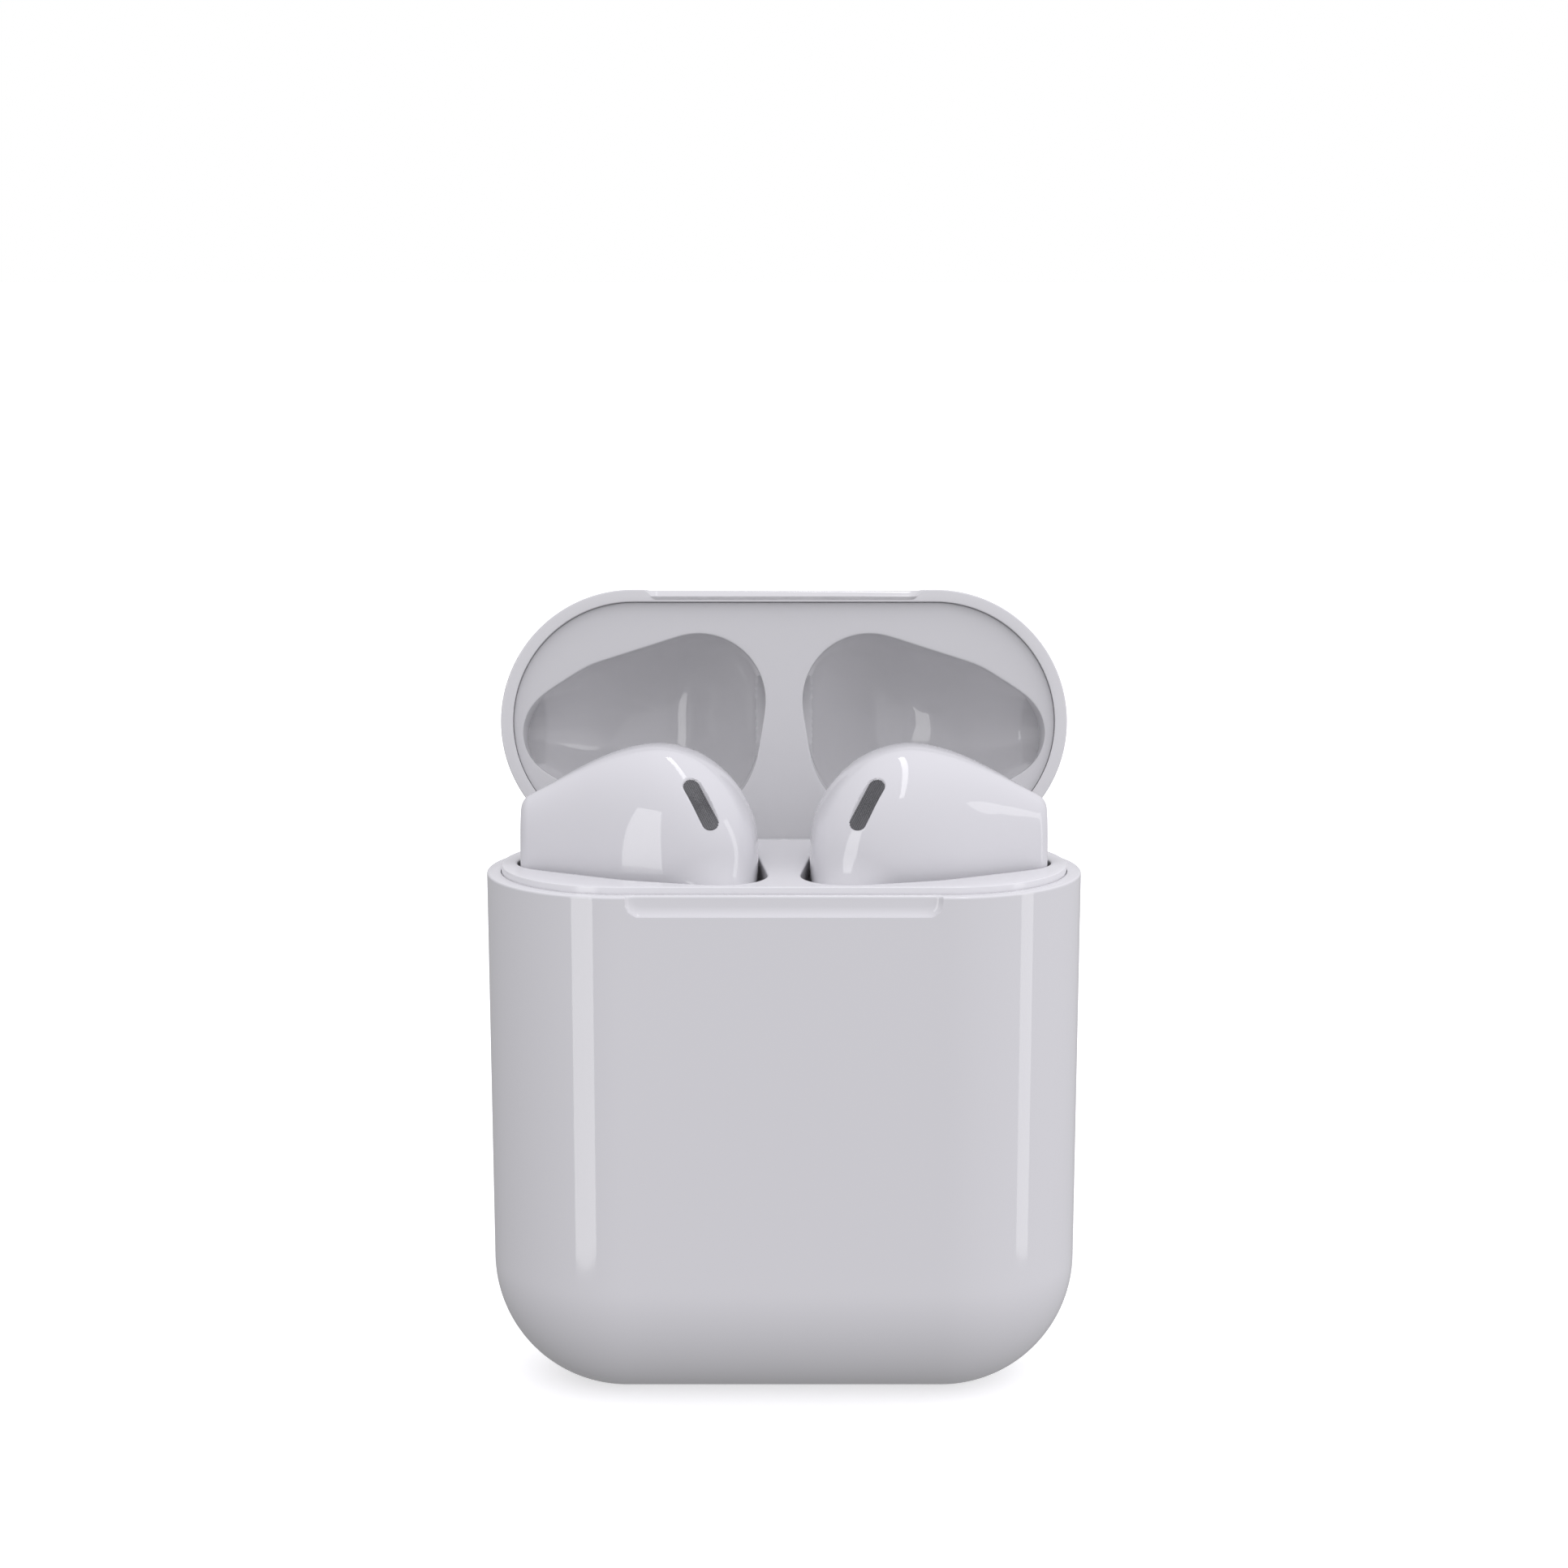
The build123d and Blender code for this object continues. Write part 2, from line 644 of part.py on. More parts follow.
def make_lid_screws():
    """Two screws through the leaf's foot into the liner."""
    y = half_depth - foot_inset
    seat = lid_foot_z + foot_thickness
    return [screw(side * lid_screw_spacing / 2, y, seat, 1.4, up=False) for side in (-1, 1)]


def make_lid_magnets():
    """Two magnets behind the liner's front edge."""
    wide, deep, tall = magnet_size
    low = rim_z + liner_recess + liner_plate + 0.05
    return [block(x - wide / 2, x + wide / 2, magnet_y, magnet_y + deep, low, low + tall)
            for x in (-latch_x, latch_x)]


# ================================================================ left earbud
vent_point = (-6.1, -3.8, rim_z + 5.45)
vent_normal = (0.4415, -0.749, 0.4937)
vent_along = (0.578, -0.1836, -0.795)
vent_plane = Plane(origin=vent_point, x_dir=vent_along, z_dir=vent_normal)
stem_inner = stem_radius - stem_wall
cap_height = 1.2
nozzle_x = HEAD[0][0]
nozzle_y = (HEAD[0][1] + HEAD[0][2]) / 2
nozzle_z = rim_z + (HEAD[0][3] + HEAD[0][4]) / 2
nozzle_plane = Plane(origin=(nozzle_x, nozzle_y, nozzle_z), x_dir=(0, 1, 0), z_dir=(-1, 0, 0))
nozzle_open = (1.25, 2.6)
sensor_x, sensor_z, sensor_radius = -7.5, rim_z + 1.5, 1.1


def sensor_rod(radius):
    """Cylinder along Y through the back of the left head."""
    return Pos(sensor_x, half_depth - 2.5, sensor_z) * Rot(90, 0, 0) * Cylinder(radius, 6)


def head_wall_solid():
    """Hollow wall of the head."""
    return head_solid(0) - head_solid(-head_wall)


def make_bud_shell():
    """Front of the head in one piece with the stem."""
    shell = head_solid(0) + stem_solid(0, stem_bottom_z + cap_height)
    shell -= head_solid(-head_wall)
    shell -= rod(stem_x, stem_y, stem_bottom_z, rim_z + stem_top, stem_inner)
    shell &= block(-30, 0, -20, rear_cap_y - fit_gap / 2, 0, 80)
    slot = vent_plane * SlotOverall(vent_length, vent_width)
    shell -= extrude(slot, amount=1.2, both=True)
    return shell - extrude(nozzle_plane * Ellipse(*nozzle_open), amount=2, both=True)


def make_rear_cap():
    """Back cover of the head."""
    cap = head_wall_solid() & block(-30, 0, rear_cap_y + fit_gap / 2, 20, 0, 80)
    return cap - sensor_rod(sensor_radius)


def make_vent_mesh():
    """Woven mesh across the vent slot, sunk below the skin."""
    slot = vent_plane * Pos(0, 0, -vent_recess) * SlotOverall(vent_length, vent_width)
    return extrude(slot, amount=-mesh_thickness)


def make_nozzle_mesh():
    """Mesh across the nozzle's mouth."""
    return extrude(nozzle_plane * Pos(0, 0, -0.15) * Ellipse(*nozzle_open), amount=-mesh_thickness)


def make_sensor_window():
    """Dark window of the wear sensor, flush with the rear cap."""
    return head_wall_solid() & sensor_rod(sensor_radius - 0.02)


def make_speaker_driver():
    """Speaker driver facing the nozzle."""
    body = cross_rod(-14.2, -11.6, 1.1, rim_z + 1.0, 3.8)
    return body + cross_rod(-11.6, -10.7, 1.1, rim_z + 1.0, 2.6)


def make_bud_board():
    """Round circuit board in the head."""
    return cross_rod(-9.9, -9.2, 1.2, rim_z + 1.1, 4.8)


def make_bud_battery():
    """Round cell in the stem."""
    return rod(stem_x, stem_y, stem_bottom_z + 3.4, rim_z + stem_top - 2, stem_inner - 0.25)


def make_stem_cap():
    """Metal end of the stem: the charging contact, with the microphone opening."""
    z = stem_bottom_z
    cap = rod(stem_x, stem_y, z, z + cap_height, stem_radius)
    cap += rod(stem_x, stem_y, z + cap_height, z + cap_height + 1, stem_inner - 0.04)
    return cap - rod(stem_x, stem_y, z - 1, z + 4, 0.75)


def make_mic_mesh():
    """Mesh in the microphone opening."""
    return rod(stem_x, stem_y, stem_bottom_z + 0.15, stem_bottom_z + 0.15 + mesh_thickness, 0.75)


def make_bud_magnet():
    """Magnet in the bottom of the head."""
    return block(-8.6, -6.2, 0.2, 2.8, rim_z - 5.0, rim_z - 3.7)


# ================================================================ write the pieces
def save(name, solids):
    """Write one piece, or a group of separate solids, to its own STEP file."""
    shape = solids if not isinstance(solids, (list, tuple)) else Compound(children=list(solids))
    export_step(shape, f"parts/{name}.step")


def main():
    """Build every piece and write it."""
    os.makedirs("parts", exist_ok=True)
    base = {
        "case_shell": make_case_shell, "inner_tray": make_inner_tray,
        "battery_cell": make_battery_cell, "battery_tape": make_battery_tape,
        "main_board": make_main_board, "board_chips": make_board_chips,
        "button_switch": make_button_switch, "button_frame": make_button_frame,
        "setup_button": make_setup_button, "port_shell": make_port_shell,
        "port_tongue": make_port_tongue, "port_seal": make_port_seal,
        "port_board": make_port_board, "port_flex": make_port_flex,
        "contact_flex": make_contact_flex, "sensor_flex": make_sensor_flex,
        "hall_sensor": make_hall_sensor, "status_led": make_status_led,
        "base_magnets": make_base_magnets, "well_magnets": make_well_magnets,
        "hinge_bracket": make_hinge_bracket, "hinge_pin": make_hinge_pin,
        "hinge_spring": make_hinge_spring, "hinge_screws": make_hinge_screws,
    }
    for name, make in base.items():
        save(name, make())
    lid = {
        "lid_shell": make_lid_shell, "lid_liner": make_lid_liner, "lid_leaf": make_lid_leaf,
        "lid_screws": make_lid_screws, "lid_magnets": make_lid_magnets,
    }
    for name, make in lid.items():
        piece = make()
        if isinstance(piece, list):
            save(name, [solid.rotate(lid_axis, lid_angle) for solid in piece])
        else:
            save(name, piece.rotate(lid_axis, lid_angle))
    left = {
        "bud_shell": make_bud_shell, "rear_cap": make_rear_cap, "vent_mesh": make_vent_mesh,
        "nozzle_mesh": make_nozzle_mesh, "sensor_window": make_sensor_window,
        "speaker_driver": make_speaker_driver, "bud_board": make_bud_board,
        "bud_battery": make_bud_battery, "stem_cap": make_stem_cap, "mic_mesh": make_mic_mesh,
        "bud_magnet": make_bud_magnet, "contact_block": make_contact_block,
    }
    for name, make in left.items():
        for side, solid in zip(("left", "right"), both_sides(make())):
            save(f"{name}_{side}", solid)
    pin_x = {"outer": stem_x - contact_spacing / 2, "inner": stem_x + contact_spacing / 2}
    for place, x in pin_x.items():
        for side, solid in zip(("left", "right"), both_sides(make_contact_pin(x))):
            save(f"contact_pin_{side}_{place}", solid)
    springs = [both_sides(make_contact_spring(x)) for x in pin_x.values()]
    for side, pair in zip(("left", "right"), zip(*springs)):
        save(f"contact_springs_{side}", pair)


main()
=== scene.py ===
from math import acos, atan2, cos, pi, radians, sin, sqrt

import bmesh
import bpy
import numpy as np
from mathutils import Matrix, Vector


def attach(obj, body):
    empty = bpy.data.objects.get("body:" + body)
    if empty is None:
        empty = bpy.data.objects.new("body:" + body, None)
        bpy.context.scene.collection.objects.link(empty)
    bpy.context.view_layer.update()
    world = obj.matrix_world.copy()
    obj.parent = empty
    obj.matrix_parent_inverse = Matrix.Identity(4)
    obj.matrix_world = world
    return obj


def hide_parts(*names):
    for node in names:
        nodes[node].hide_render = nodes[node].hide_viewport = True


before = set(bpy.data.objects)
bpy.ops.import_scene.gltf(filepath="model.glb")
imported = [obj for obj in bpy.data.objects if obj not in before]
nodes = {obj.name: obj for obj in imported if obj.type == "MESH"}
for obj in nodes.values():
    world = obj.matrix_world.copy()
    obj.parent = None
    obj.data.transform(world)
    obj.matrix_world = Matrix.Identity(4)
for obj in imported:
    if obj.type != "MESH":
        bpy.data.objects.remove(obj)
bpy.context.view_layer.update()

# Lengths are in millimetres here, and in the shapes below, until a mesh is made.
MM = 0.001

# ---------------------------------------------------------------- sizes of the case
CASE_WIDTH = 44.3
CASE_DEPTH = 20.6
RIM_Z = 39.17
LID_HEIGHT = 13.9
DRAFT = 0.0055
BASE_ROUND = 10.0
BASE_FLAT_CUT = 0.53
LID_ROUND = 9.6
SEAM_GAP = 0.06
RIM_EDGE = 0.16
LID_EDGE = 0.14
RIM_WIDTH = 1.085
SHELL_WALL = 1.035
FLOOR = 1.2
LIP_HEIGHT = 0.52
LID_WALL = 0.95
LINER_INSET = 0.965
LINER_RECESS = 0.72
HALF_DEPTH = CASE_DEPTH / 2
STRAIGHT = CASE_WIDTH / 2 - HALF_DEPTH
ROUND_Z = BASE_ROUND - BASE_FLAT_CUT
SLOPE = sqrt(1 + DRAFT**2)
ROUND_Y = HALF_DEPTH - DRAFT * (RIM_Z - ROUND_Z) - BASE_ROUND * SLOPE

# ---------------------------------------------------------------- hinge, button, socket
LID_ANGLE = radians(102.45)
PIVOT_Y = HALF_DEPTH - 0.10
PIVOT_Z = RIM_Z - 0.64
NOTCH_HALF = 6.68
NOTCH_DROP = 4.68
NOTCH_RISE = 2.68
BUTTON_RADIUS = 2.7
BUTTON_GAP = 0.12
BUTTON_Z = 20.0
BUTTON_BLOCK = 4.2
PORT_HALF_LENGTH = 4.52
PORT_HALF_WIDTH = 1.68

# ---------------------------------------------------------------- thumb scoop
SCOOP_HALF = 11.4
SCOOP_HEIGHT = 1.5
SCOOP_DEPTH = 0.45
LID_SCOOP_HALF = 11.0
LID_SCOOP_HEIGHT = 1.0
LID_SCOOP_DEPTH = 0.68
SCOOP_CORNER = 1.1

# ---------------------------------------------------------------- earbud, from the rim's centre
STEM_X, STEM_Y = -4.6, -4.9
STEM_RADIUS = 2.95
STEM_BOTTOM = 9.25 - 40.5
CAP_HEIGHT = 1.2
RIDGE_TOP = -2.6            # where the stem's round top begins
BLEND = 2.2                 # width of the fillet between head and stem
HEAD_POWER = 2.25           # 2 would make the head's sections ovals
HEAD_END = -1.9
NOZZLE_X = -19.6
NOZZLE_ROUND = 0.6
# Sections of the left head across X: place, front, back, bottom and top.
HEAD = [
    (-19.6, -1.55, 2.95, -3.5, 5.15),
    (-17.9, -2.35, 3.85, -4.35, 6.05),
    (-16.0, -3.3, 5.2, -5.4, 7.1),
    (-13.0, -4.8, 7.0, -6.6, 8.5),
    (-9.8, -5.9, 7.9, -7.0, 9.25),
    (-6.8, -6.35, 7.5, -6.6, 8.8),
    (-4.4, -5.9, 6.2, -5.3, 7.3),
    (-2.9, -4.9, 4.4, -3.6, 5.4),
    (-2.05, -2.9, 2.0, -1.2, 3.2),
    (-1.9, -0.45, -0.45, 1.0, 1.0),
]
# The skin's rings are level in the stem and turn about this line to stand upright in the head.
PLANE_PIVOT_X, PLANE_PIVOT_Z = -9.0, -8.8
REAR_CAP_Y = 3.4
CAP_SEAM = 0.05
# Vent slot: its middle, the way it faces, the way it slants, and its half sizes.
VENT_POINT = np.array([-6.0, -4.97, 5.95])
VENT_FACING = np.array([0.25, -0.76, 0.6])
VENT_SLANT = np.array([0.443, -0.44, -0.781])
VENT_HALF_LENGTH = 2.12
VENT_HALF_WIDTH = 0.65
VENT_RECESS = 0.42
MESH_PITCH = 0.15
NOZZLE_OPEN = (1.25, 2.6)
# Sensor window in the back: its middle across and up, and its radius.
SENSOR = (-7.5, 1.5, 1.1)

# Circles in plan whose common outline is a mouth: centre x, centre y, radius.
WELL_MOUTH = [(-17.0, -0.1, 2.95), (-9.2, -1.1, 5.95), (-4.7, -5.0, 3.5), (-8.85, 1.3, 6.95)]
POCKET_MOUTH = [(-16.9, 0.9, 3.6), (-13.5, -0.3, 4.45), (-6.7, -1.65, 5.25), (-8.9, 1.3, 6.95)]
MOUTH_CENTRE = (-9.0, 0.0)
WELL_CLEARANCE = 0.3
POCKET_CLEARANCE = 1.2
HEAD_ROOM = 0.35


# ================================================================ meshes
def make_piece(name, grids, body, material, stands_for, crease=38, up=None):
    """Object from (rows, columns, 3) grids in millimetres: neighbours become quads, and points
    that fall together are merged. Closed shells are turned outwards, and open ones are flipped if
    they face away from the direction given as up."""
    points, faces, start = [], [], 0
    for grid in grids:
        rows, columns = grid.shape[:2]
        corner = start + np.arange((rows - 1) * columns).reshape(rows - 1, columns)[:, :-1].ravel()
        faces.append(np.stack([corner, corner + 1, corner + columns + 1, corner + columns], 1))
        points.append(grid.reshape(-1, 3))
        start += rows * columns
    mesh = bpy.data.meshes.new(name)
    mesh.from_pydata(np.concatenate(points) * MM, [], np.concatenate(faces).tolist())
    soup = bmesh.new()
    soup.from_mesh(mesh)
    bmesh.ops.remove_doubles(soup, verts=soup.verts, dist=0.0015 * MM)
    bmesh.ops.dissolve_degenerate(soup, edges=soup.edges, dist=0.0002 * MM)
    bmesh.ops.recalc_face_normals(soup, faces=soup.faces)
    if up is not None:
        facing = sum(face.calc_area() * face.normal.dot(Vector(up)) for face in soup.faces)
        if facing < 0:
            bmesh.ops.reverse_faces(soup, faces=soup.faces)
    soup.to_mesh(mesh)
    soup.free()
    return finish_piece(name, mesh, body, material, stands_for, crease)


def finish_piece(name, mesh, body, material, stands_for, crease=38):
    """Smooth shading with creases, a material, and the piece's place in the frame."""
    mesh.polygons.foreach_set("use_smooth", np.ones(len(mesh.polygons), bool))
    mesh.set_sharp_from_angle(angle=radians(crease))
    mesh.materials.append(material)
    piece = bpy.data.objects.new(name, mesh)
    bpy.context.scene.collection.objects.link(piece)
    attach(piece, body)
    if stands_for:
        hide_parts(*stands_for)
    return piece


def give_thickness(piece, thickness):
    """Wall behind the visible face of an open surface."""
    wall = piece.modifiers.new("wall", "SOLIDIFY")
    wall.thickness = thickness * MM
    wall.offset = -1.0
    return piece


def arc(across, height, radius, first, last, count):
    """Rows of (radius, height) on a circle's arc in the section, angles in degrees from outwards."""
    turn = np.radians(np.linspace(first, last, count))
    return [(across + radius * c, height + radius * s) for c, s in zip(np.cos(turn), np.sin(turn))]


def pill_loop(front, back, steps):
    """Stations round a stadium, anticlockwise from above: x of the centre each one swings about,
    and its outward angle. The flats have the given x values and the turned ends equal steps."""
    turned = np.linspace(-pi / 2, pi / 2, steps + 1)[1:-1]
    end = np.full(len(turned), STRAIGHT)
    centre = np.concatenate([front, end, back[::-1], -end, front[:1]])
    angle = np.concatenate([np.full(len(front), -pi / 2), turned, np.full(len(back), pi / 2),
                            turned + pi, [-pi / 2]])
    return centre, angle


def pill_grid(loop, rings):
    """Grid round a stadium: each ring gives radius, height and its share of the straight length."""
    centre, angle = loop
    radius, height, share = (np.array(column)[:, None] for column in zip(*rings))
    x = share * centre + radius * np.cos(angle)
    y = radius * np.sin(angle)
    return np.stack([x, y, np.broadcast_to(height, x.shape)], -1)


def both_ways(*values):
    """The values and their negatives, sorted."""
    return np.array(sorted({round(s * v, 4) for v in values for s in (-1, 1)}))


def inside_scoop(x, above, half):
    """Distance in from a scoop's outline, whose two far corners are round."""
    side = half - np.abs(x)
    corner = (side < SCOOP_CORNER) & (above < SCOOP_CORNER)
    rounded = SCOOP_CORNER - np.hypot(SCOOP_CORNER - side, SCOOP_CORNER - above)
    return np.where(corner, rounded, np.minimum(side, above))


def swing_open(grid):
    """Turns a grid of the closed lid about the hinge pin to its open rest."""
    y, z = grid[..., 1] - PIVOT_Y, grid[..., 2] - PIVOT_Z
    turned = grid.copy()
    turned[..., 1] = PIVOT_Y + y * cos(LID_ANGLE) + z * sin(LID_ANGLE)
    turned[..., 2] = PIVOT_Z - y * sin(LID_ANGLE) + z * cos(LID_ANGLE)
    return turned


# ================================================================ case body
# Grid lines beside the button's middle, close together at its hole's edge, and at a scoop's ends.
button_lines = [0, 0.7, 1.4, 2.1, 2.6, 2.81, 2.82, 2.84, 2.88, 3.1, 3.5, BUTTON_BLOCK]
scoop_lines = list(np.arange(9.6, 11.6, 0.07))


def body_rows(inset, floor, top_rows):
    """Section of the body's outside, or its inside when inset: bottom round, then the drafted wall."""
    radius = BASE_ROUND - inset
    turn = np.degrees(acos((ROUND_Z - floor) / radius))
    rows = arc(ROUND_Y, ROUND_Z, radius, turn - 90, -np.degrees(DRAFT), 30)
    return rows + [(HALF_DEPTH - DRAFT * (RIM_Z - z) - inset * SLOPE, z) for z in top_rows]


def case_shell_grids():
    """Stadium rings from the socket's hole up the outside, over the rim and down the inside,
    with the scoop, the hinge's recess and the button's round recess pushed into the flats."""
    front = np.array(sorted(set(np.round(np.concatenate(
        [np.linspace(-STRAIGHT, STRAIGHT, 2), both_ways(0, 3, 6, 8, 9, *scoop_lines)]), 4))))
    back = both_ways(*button_lines, 5.4, NOTCH_HALF - 0.02, NOTCH_HALF, 8, 10, STRAIGHT)
    loop = pill_loop(front, back, 64)
    low = np.linspace(ROUND_Z + 0.4, BUTTON_Z - BUTTON_BLOCK - 0.6, 7)
    mid = BUTTON_Z + both_ways(*button_lines)
    notch = RIM_Z - NOTCH_DROP
    high = np.linspace(BUTTON_Z + BUTTON_BLOCK + 0.8, notch - 0.5, 8)
    edge = np.concatenate([[notch, notch + 0.02], np.linspace(notch + 0.8, RIM_Z - 1.8, 5),
                           np.arange(RIM_Z - 1.6, RIM_Z - RIM_EDGE - 0.02, 0.05)])
    outside = body_rows(0, 0, np.concatenate([low, mid, high, edge]))
    flat = outside[0][0]
    share = (PORT_HALF_LENGTH - PORT_HALF_WIDTH) / STRAIGHT
    hole = [(r, z, share) for r, z in
            [(PORT_HALF_WIDTH, FLOOR)] + arc(PORT_HALF_WIDTH + 0.15, 0.15, 0.15, 180, 270, 6)]
    span = np.linspace(0, 1, 8)[1:-1]
    across = [(hole[-1][0] + t * (flat - hole[-1][0]), 0, share + t * (1 - share)) for t in span]
    rim = arc(HALF_DEPTH - RIM_EDGE, RIM_Z - RIM_EDGE, RIM_EDGE, 0, 90, 7)
    inner_edge = HALF_DEPTH - SHELL_WALL
    rim += [(inner_edge + 0.5, RIM_Z)] + arc(inner_edge + 0.05, RIM_Z - 0.05, 0.05, 90, 180, 4)
    inside = body_rows(SHELL_WALL, FLOOR, np.linspace(ROUND_Z + 1, RIM_Z - 0.2, 8))[::-1]
    rings = hole + across + [(r, z, 1) for r, z in outside + rim + inside] + hole[:1]
    grid = pill_grid(loop, rings)
    outer = np.arange(len(rings)) < len(hole) + len(across) + len(outside) + 8
    x, y, z = grid[..., 0], grid[..., 1], grid[..., 2]
    outer = np.broadcast_to(outer[:, None], x.shape)
    front_face = outer & (np.sin(loop[1]) < -0.9999) & (z > RIM_Z - 3)
    depth = np.clip(inside_scoop(x, z - RIM_Z + SCOOP_HEIGHT, SCOOP_HALF) / 0.7, 0, 1)
    y[front_face] += (SCOOP_DEPTH * np.sqrt(1 - (1 - depth) ** 2))[front_face]
    back_face = outer & (np.sin(loop[1]) > 0.9999) & (z > ROUND_Z)
    recess = np.minimum(NOTCH_HALF - np.abs(x), z - notch)
    y[back_face] -= (np.interp(recess, [0, 0.02], [0, 1.03]))[back_face]
    press_button_hole(x, y, z, back_face)
    return [grid]


def press_button_hole(x, y, z, face):
    """Square rings of the back's grid round the button become circles, and those within it go in."""
    up = z - BUTTON_Z
    ring = np.maximum(np.abs(x), np.abs(up))
    near = face & (ring < BUTTON_BLOCK) & (ring > 0)
    radius = BUTTON_RADIUS + BUTTON_GAP
    pull = np.clip((BUTTON_BLOCK - ring) / (BUTTON_BLOCK - radius), 0, 1)
    factor = 1 - pull + pull * ring / np.maximum(np.hypot(x, up), 1e-9)
    steps = [0, radius - 0.01, radius, radius + 0.02, radius + 0.06]
    depth = np.interp(ring, steps, [0.75, 0.75, 0.12, 0.03, 0])
    z[near] = (BUTTON_Z + up * factor)[near]
    x[near] = (x * factor)[near]
    y[near | (face & (ring == 0))] -= depth[near | (face & (ring == 0))]


def turned(profile, centre, axis, steps=96):
    """Surface of revolution: rows of (radius, place along the axis) swung round Y or Z."""
    angle = np.linspace(0, 2 * pi, steps + 1)
    radius, along = (np.array(column)[:, None] for column in zip(*profile))
    a, b = radius * np.cos(angle), radius * np.sin(angle)
    along = np.broadcast_to(along, a.shape)
    x, y, z = centre
    if axis == "Y":
        return np.stack([x + a, y + along, z + b], -1)
    return np.stack([x + a, y + b, z + along], -1)


def setup_button_grids():
    """Turned button: dished face, rounded edge, and a plain back inside the wall."""
    face = HALF_DEPTH - DRAFT * (RIM_Z - BUTTON_Z) - 0.05
    r = BUTTON_RADIUS
    rows = [(t * (r - 0.2), 0.02 - 0.05 * (1 - t**2)) for t in np.linspace(0, 1, 10)]
    rows += arc(r - 0.18, -0.16, 0.18, 90, 0, 8) + [(r, -1.4), (0, -1.4)]
    return [turned(rows, (0, face, BUTTON_Z), "Y")]


# ================================================================ lid
def lid_shell_grids():
    """Stadium rings from the crown down the outside, round the rim and up the inside."""
    front = np.array(sorted(set(np.round(np.concatenate(
        [np.linspace(-STRAIGHT, STRAIGHT, 2), both_ways(0, 3, 6, 8, 9, *scoop_lines)]), 4))))
    back = both_ways(0, 2, 4, 6, NOTCH_HALF - 0.02, NOTCH_HALF, 8, 10, STRAIGHT)
    loop = pill_loop(front, back, 64)
    seam = RIM_Z + SEAM_GAP
    centre_z = RIM_Z + LID_HEIGHT - LID_ROUND
    notch = RIM_Z + NOTCH_RISE
    wall = list(np.linspace(centre_z - 0.3, notch + 0.3, 5)) + [notch, notch - 0.02]
    wall += list(np.arange(notch - 0.3, seam + LID_EDGE + 0.02, -0.05))
    outside = [(0, centre_z + LID_ROUND), (0.35, centre_z + LID_ROUND)]
    outside += arc(HALF_DEPTH - LID_ROUND, centre_z, LID_ROUND, 90, 0, 40)
    outside += [(HALF_DEPTH, z) for z in wall]
    outside += arc(HALF_DEPTH - LID_EDGE, seam + LID_EDGE, LID_EDGE, 0, -90, 7)
    edge = HALF_DEPTH - LID_WALL
    inside = [(edge + 0.4, seam)] + arc(edge + 0.05, seam + 0.05, 0.05, -90, -180, 4)
    inside += [(edge, z) for z in np.linspace(seam + 0.3, centre_z, 6)]
    inside += arc(HALF_DEPTH - LID_ROUND, centre_z, LID_ROUND - LID_WALL, 0, 90, 20)
    inside += [(0, centre_z + LID_ROUND - LID_WALL)]
    grid = pill_grid(loop, [(r, z, 1) for r, z in outside + inside])
    x, y, z = grid[..., 0], grid[..., 1], grid[..., 2]
    outer = np.broadcast_to((np.arange(len(grid)) < len(outside))[:, None], x.shape)
    front_face = outer & (np.sin(loop[1]) < -0.9999) & (z < RIM_Z + 3)
    share = np.clip(inside_scoop(x, seam + LID_SCOOP_HEIGHT - z, LID_SCOOP_HALF) / 0.95, 0, 1)
    y[front_face] += (LID_SCOOP_DEPTH * share**2 * (3 - 2 * share))[front_face]
    back_face = outer & (np.sin(loop[1]) > 0.9999) & (z < centre_z)
    recess = np.minimum(NOTCH_HALF - np.abs(x), notch - z)
    y[back_face] -= (np.interp(recess, [0, 0.02], [0, 0.92]))[back_face]
    return [swing_open(grid)]


# ================================================================ plates with a mouth
def mouth_curve(circles, angles):
    """Common outline of some circles, at the given angles about the mouth's centre: the outline
    is found from its support in every direction, evened out by length and read by angle."""
    lean = np.linspace(0, 2 * pi, 4001)
    normal = np.stack([np.cos(lean), np.sin(lean)], 1)
    reach = np.stack([normal @ np.array(c[:2]) + c[2] for c in circles])
    best = reach.argmax(0)
    centre, radii = np.array([c[:2] for c in circles]), np.array([c[2] for c in circles])
    rim = centre[best] + radii[best, None] * normal
    length = np.concatenate([[0], np.cumsum(np.hypot(*np.diff(rim, axis=0).T))])
    even = np.linspace(0, length[-1], 6001)[:-1]
    x, y = np.interp(even, length, rim[:, 0]), np.interp(even, length, rim[:, 1])
    seen = np.arctan2(y - MOUTH_CENTRE[1], x - MOUTH_CENTRE[0])
    far = np.hypot(x - MOUTH_CENTRE[0], y - MOUTH_CENTRE[1])
    order = np.argsort(seen)
    radius = np.interp(angles, seen[order], far[order], period=2 * pi)
    for _ in range(20):
        radius[:-1] = (np.roll(radius[:-1], 1) + 2 * radius[:-1] + np.roll(radius[:-1], -1)) / 4
    radius[-1] = radius[0]
    return np.stack([MOUTH_CENTRE[0] + radius * np.cos(angles),
                     MOUTH_CENTRE[1] + radius * np.sin(angles)], 1)


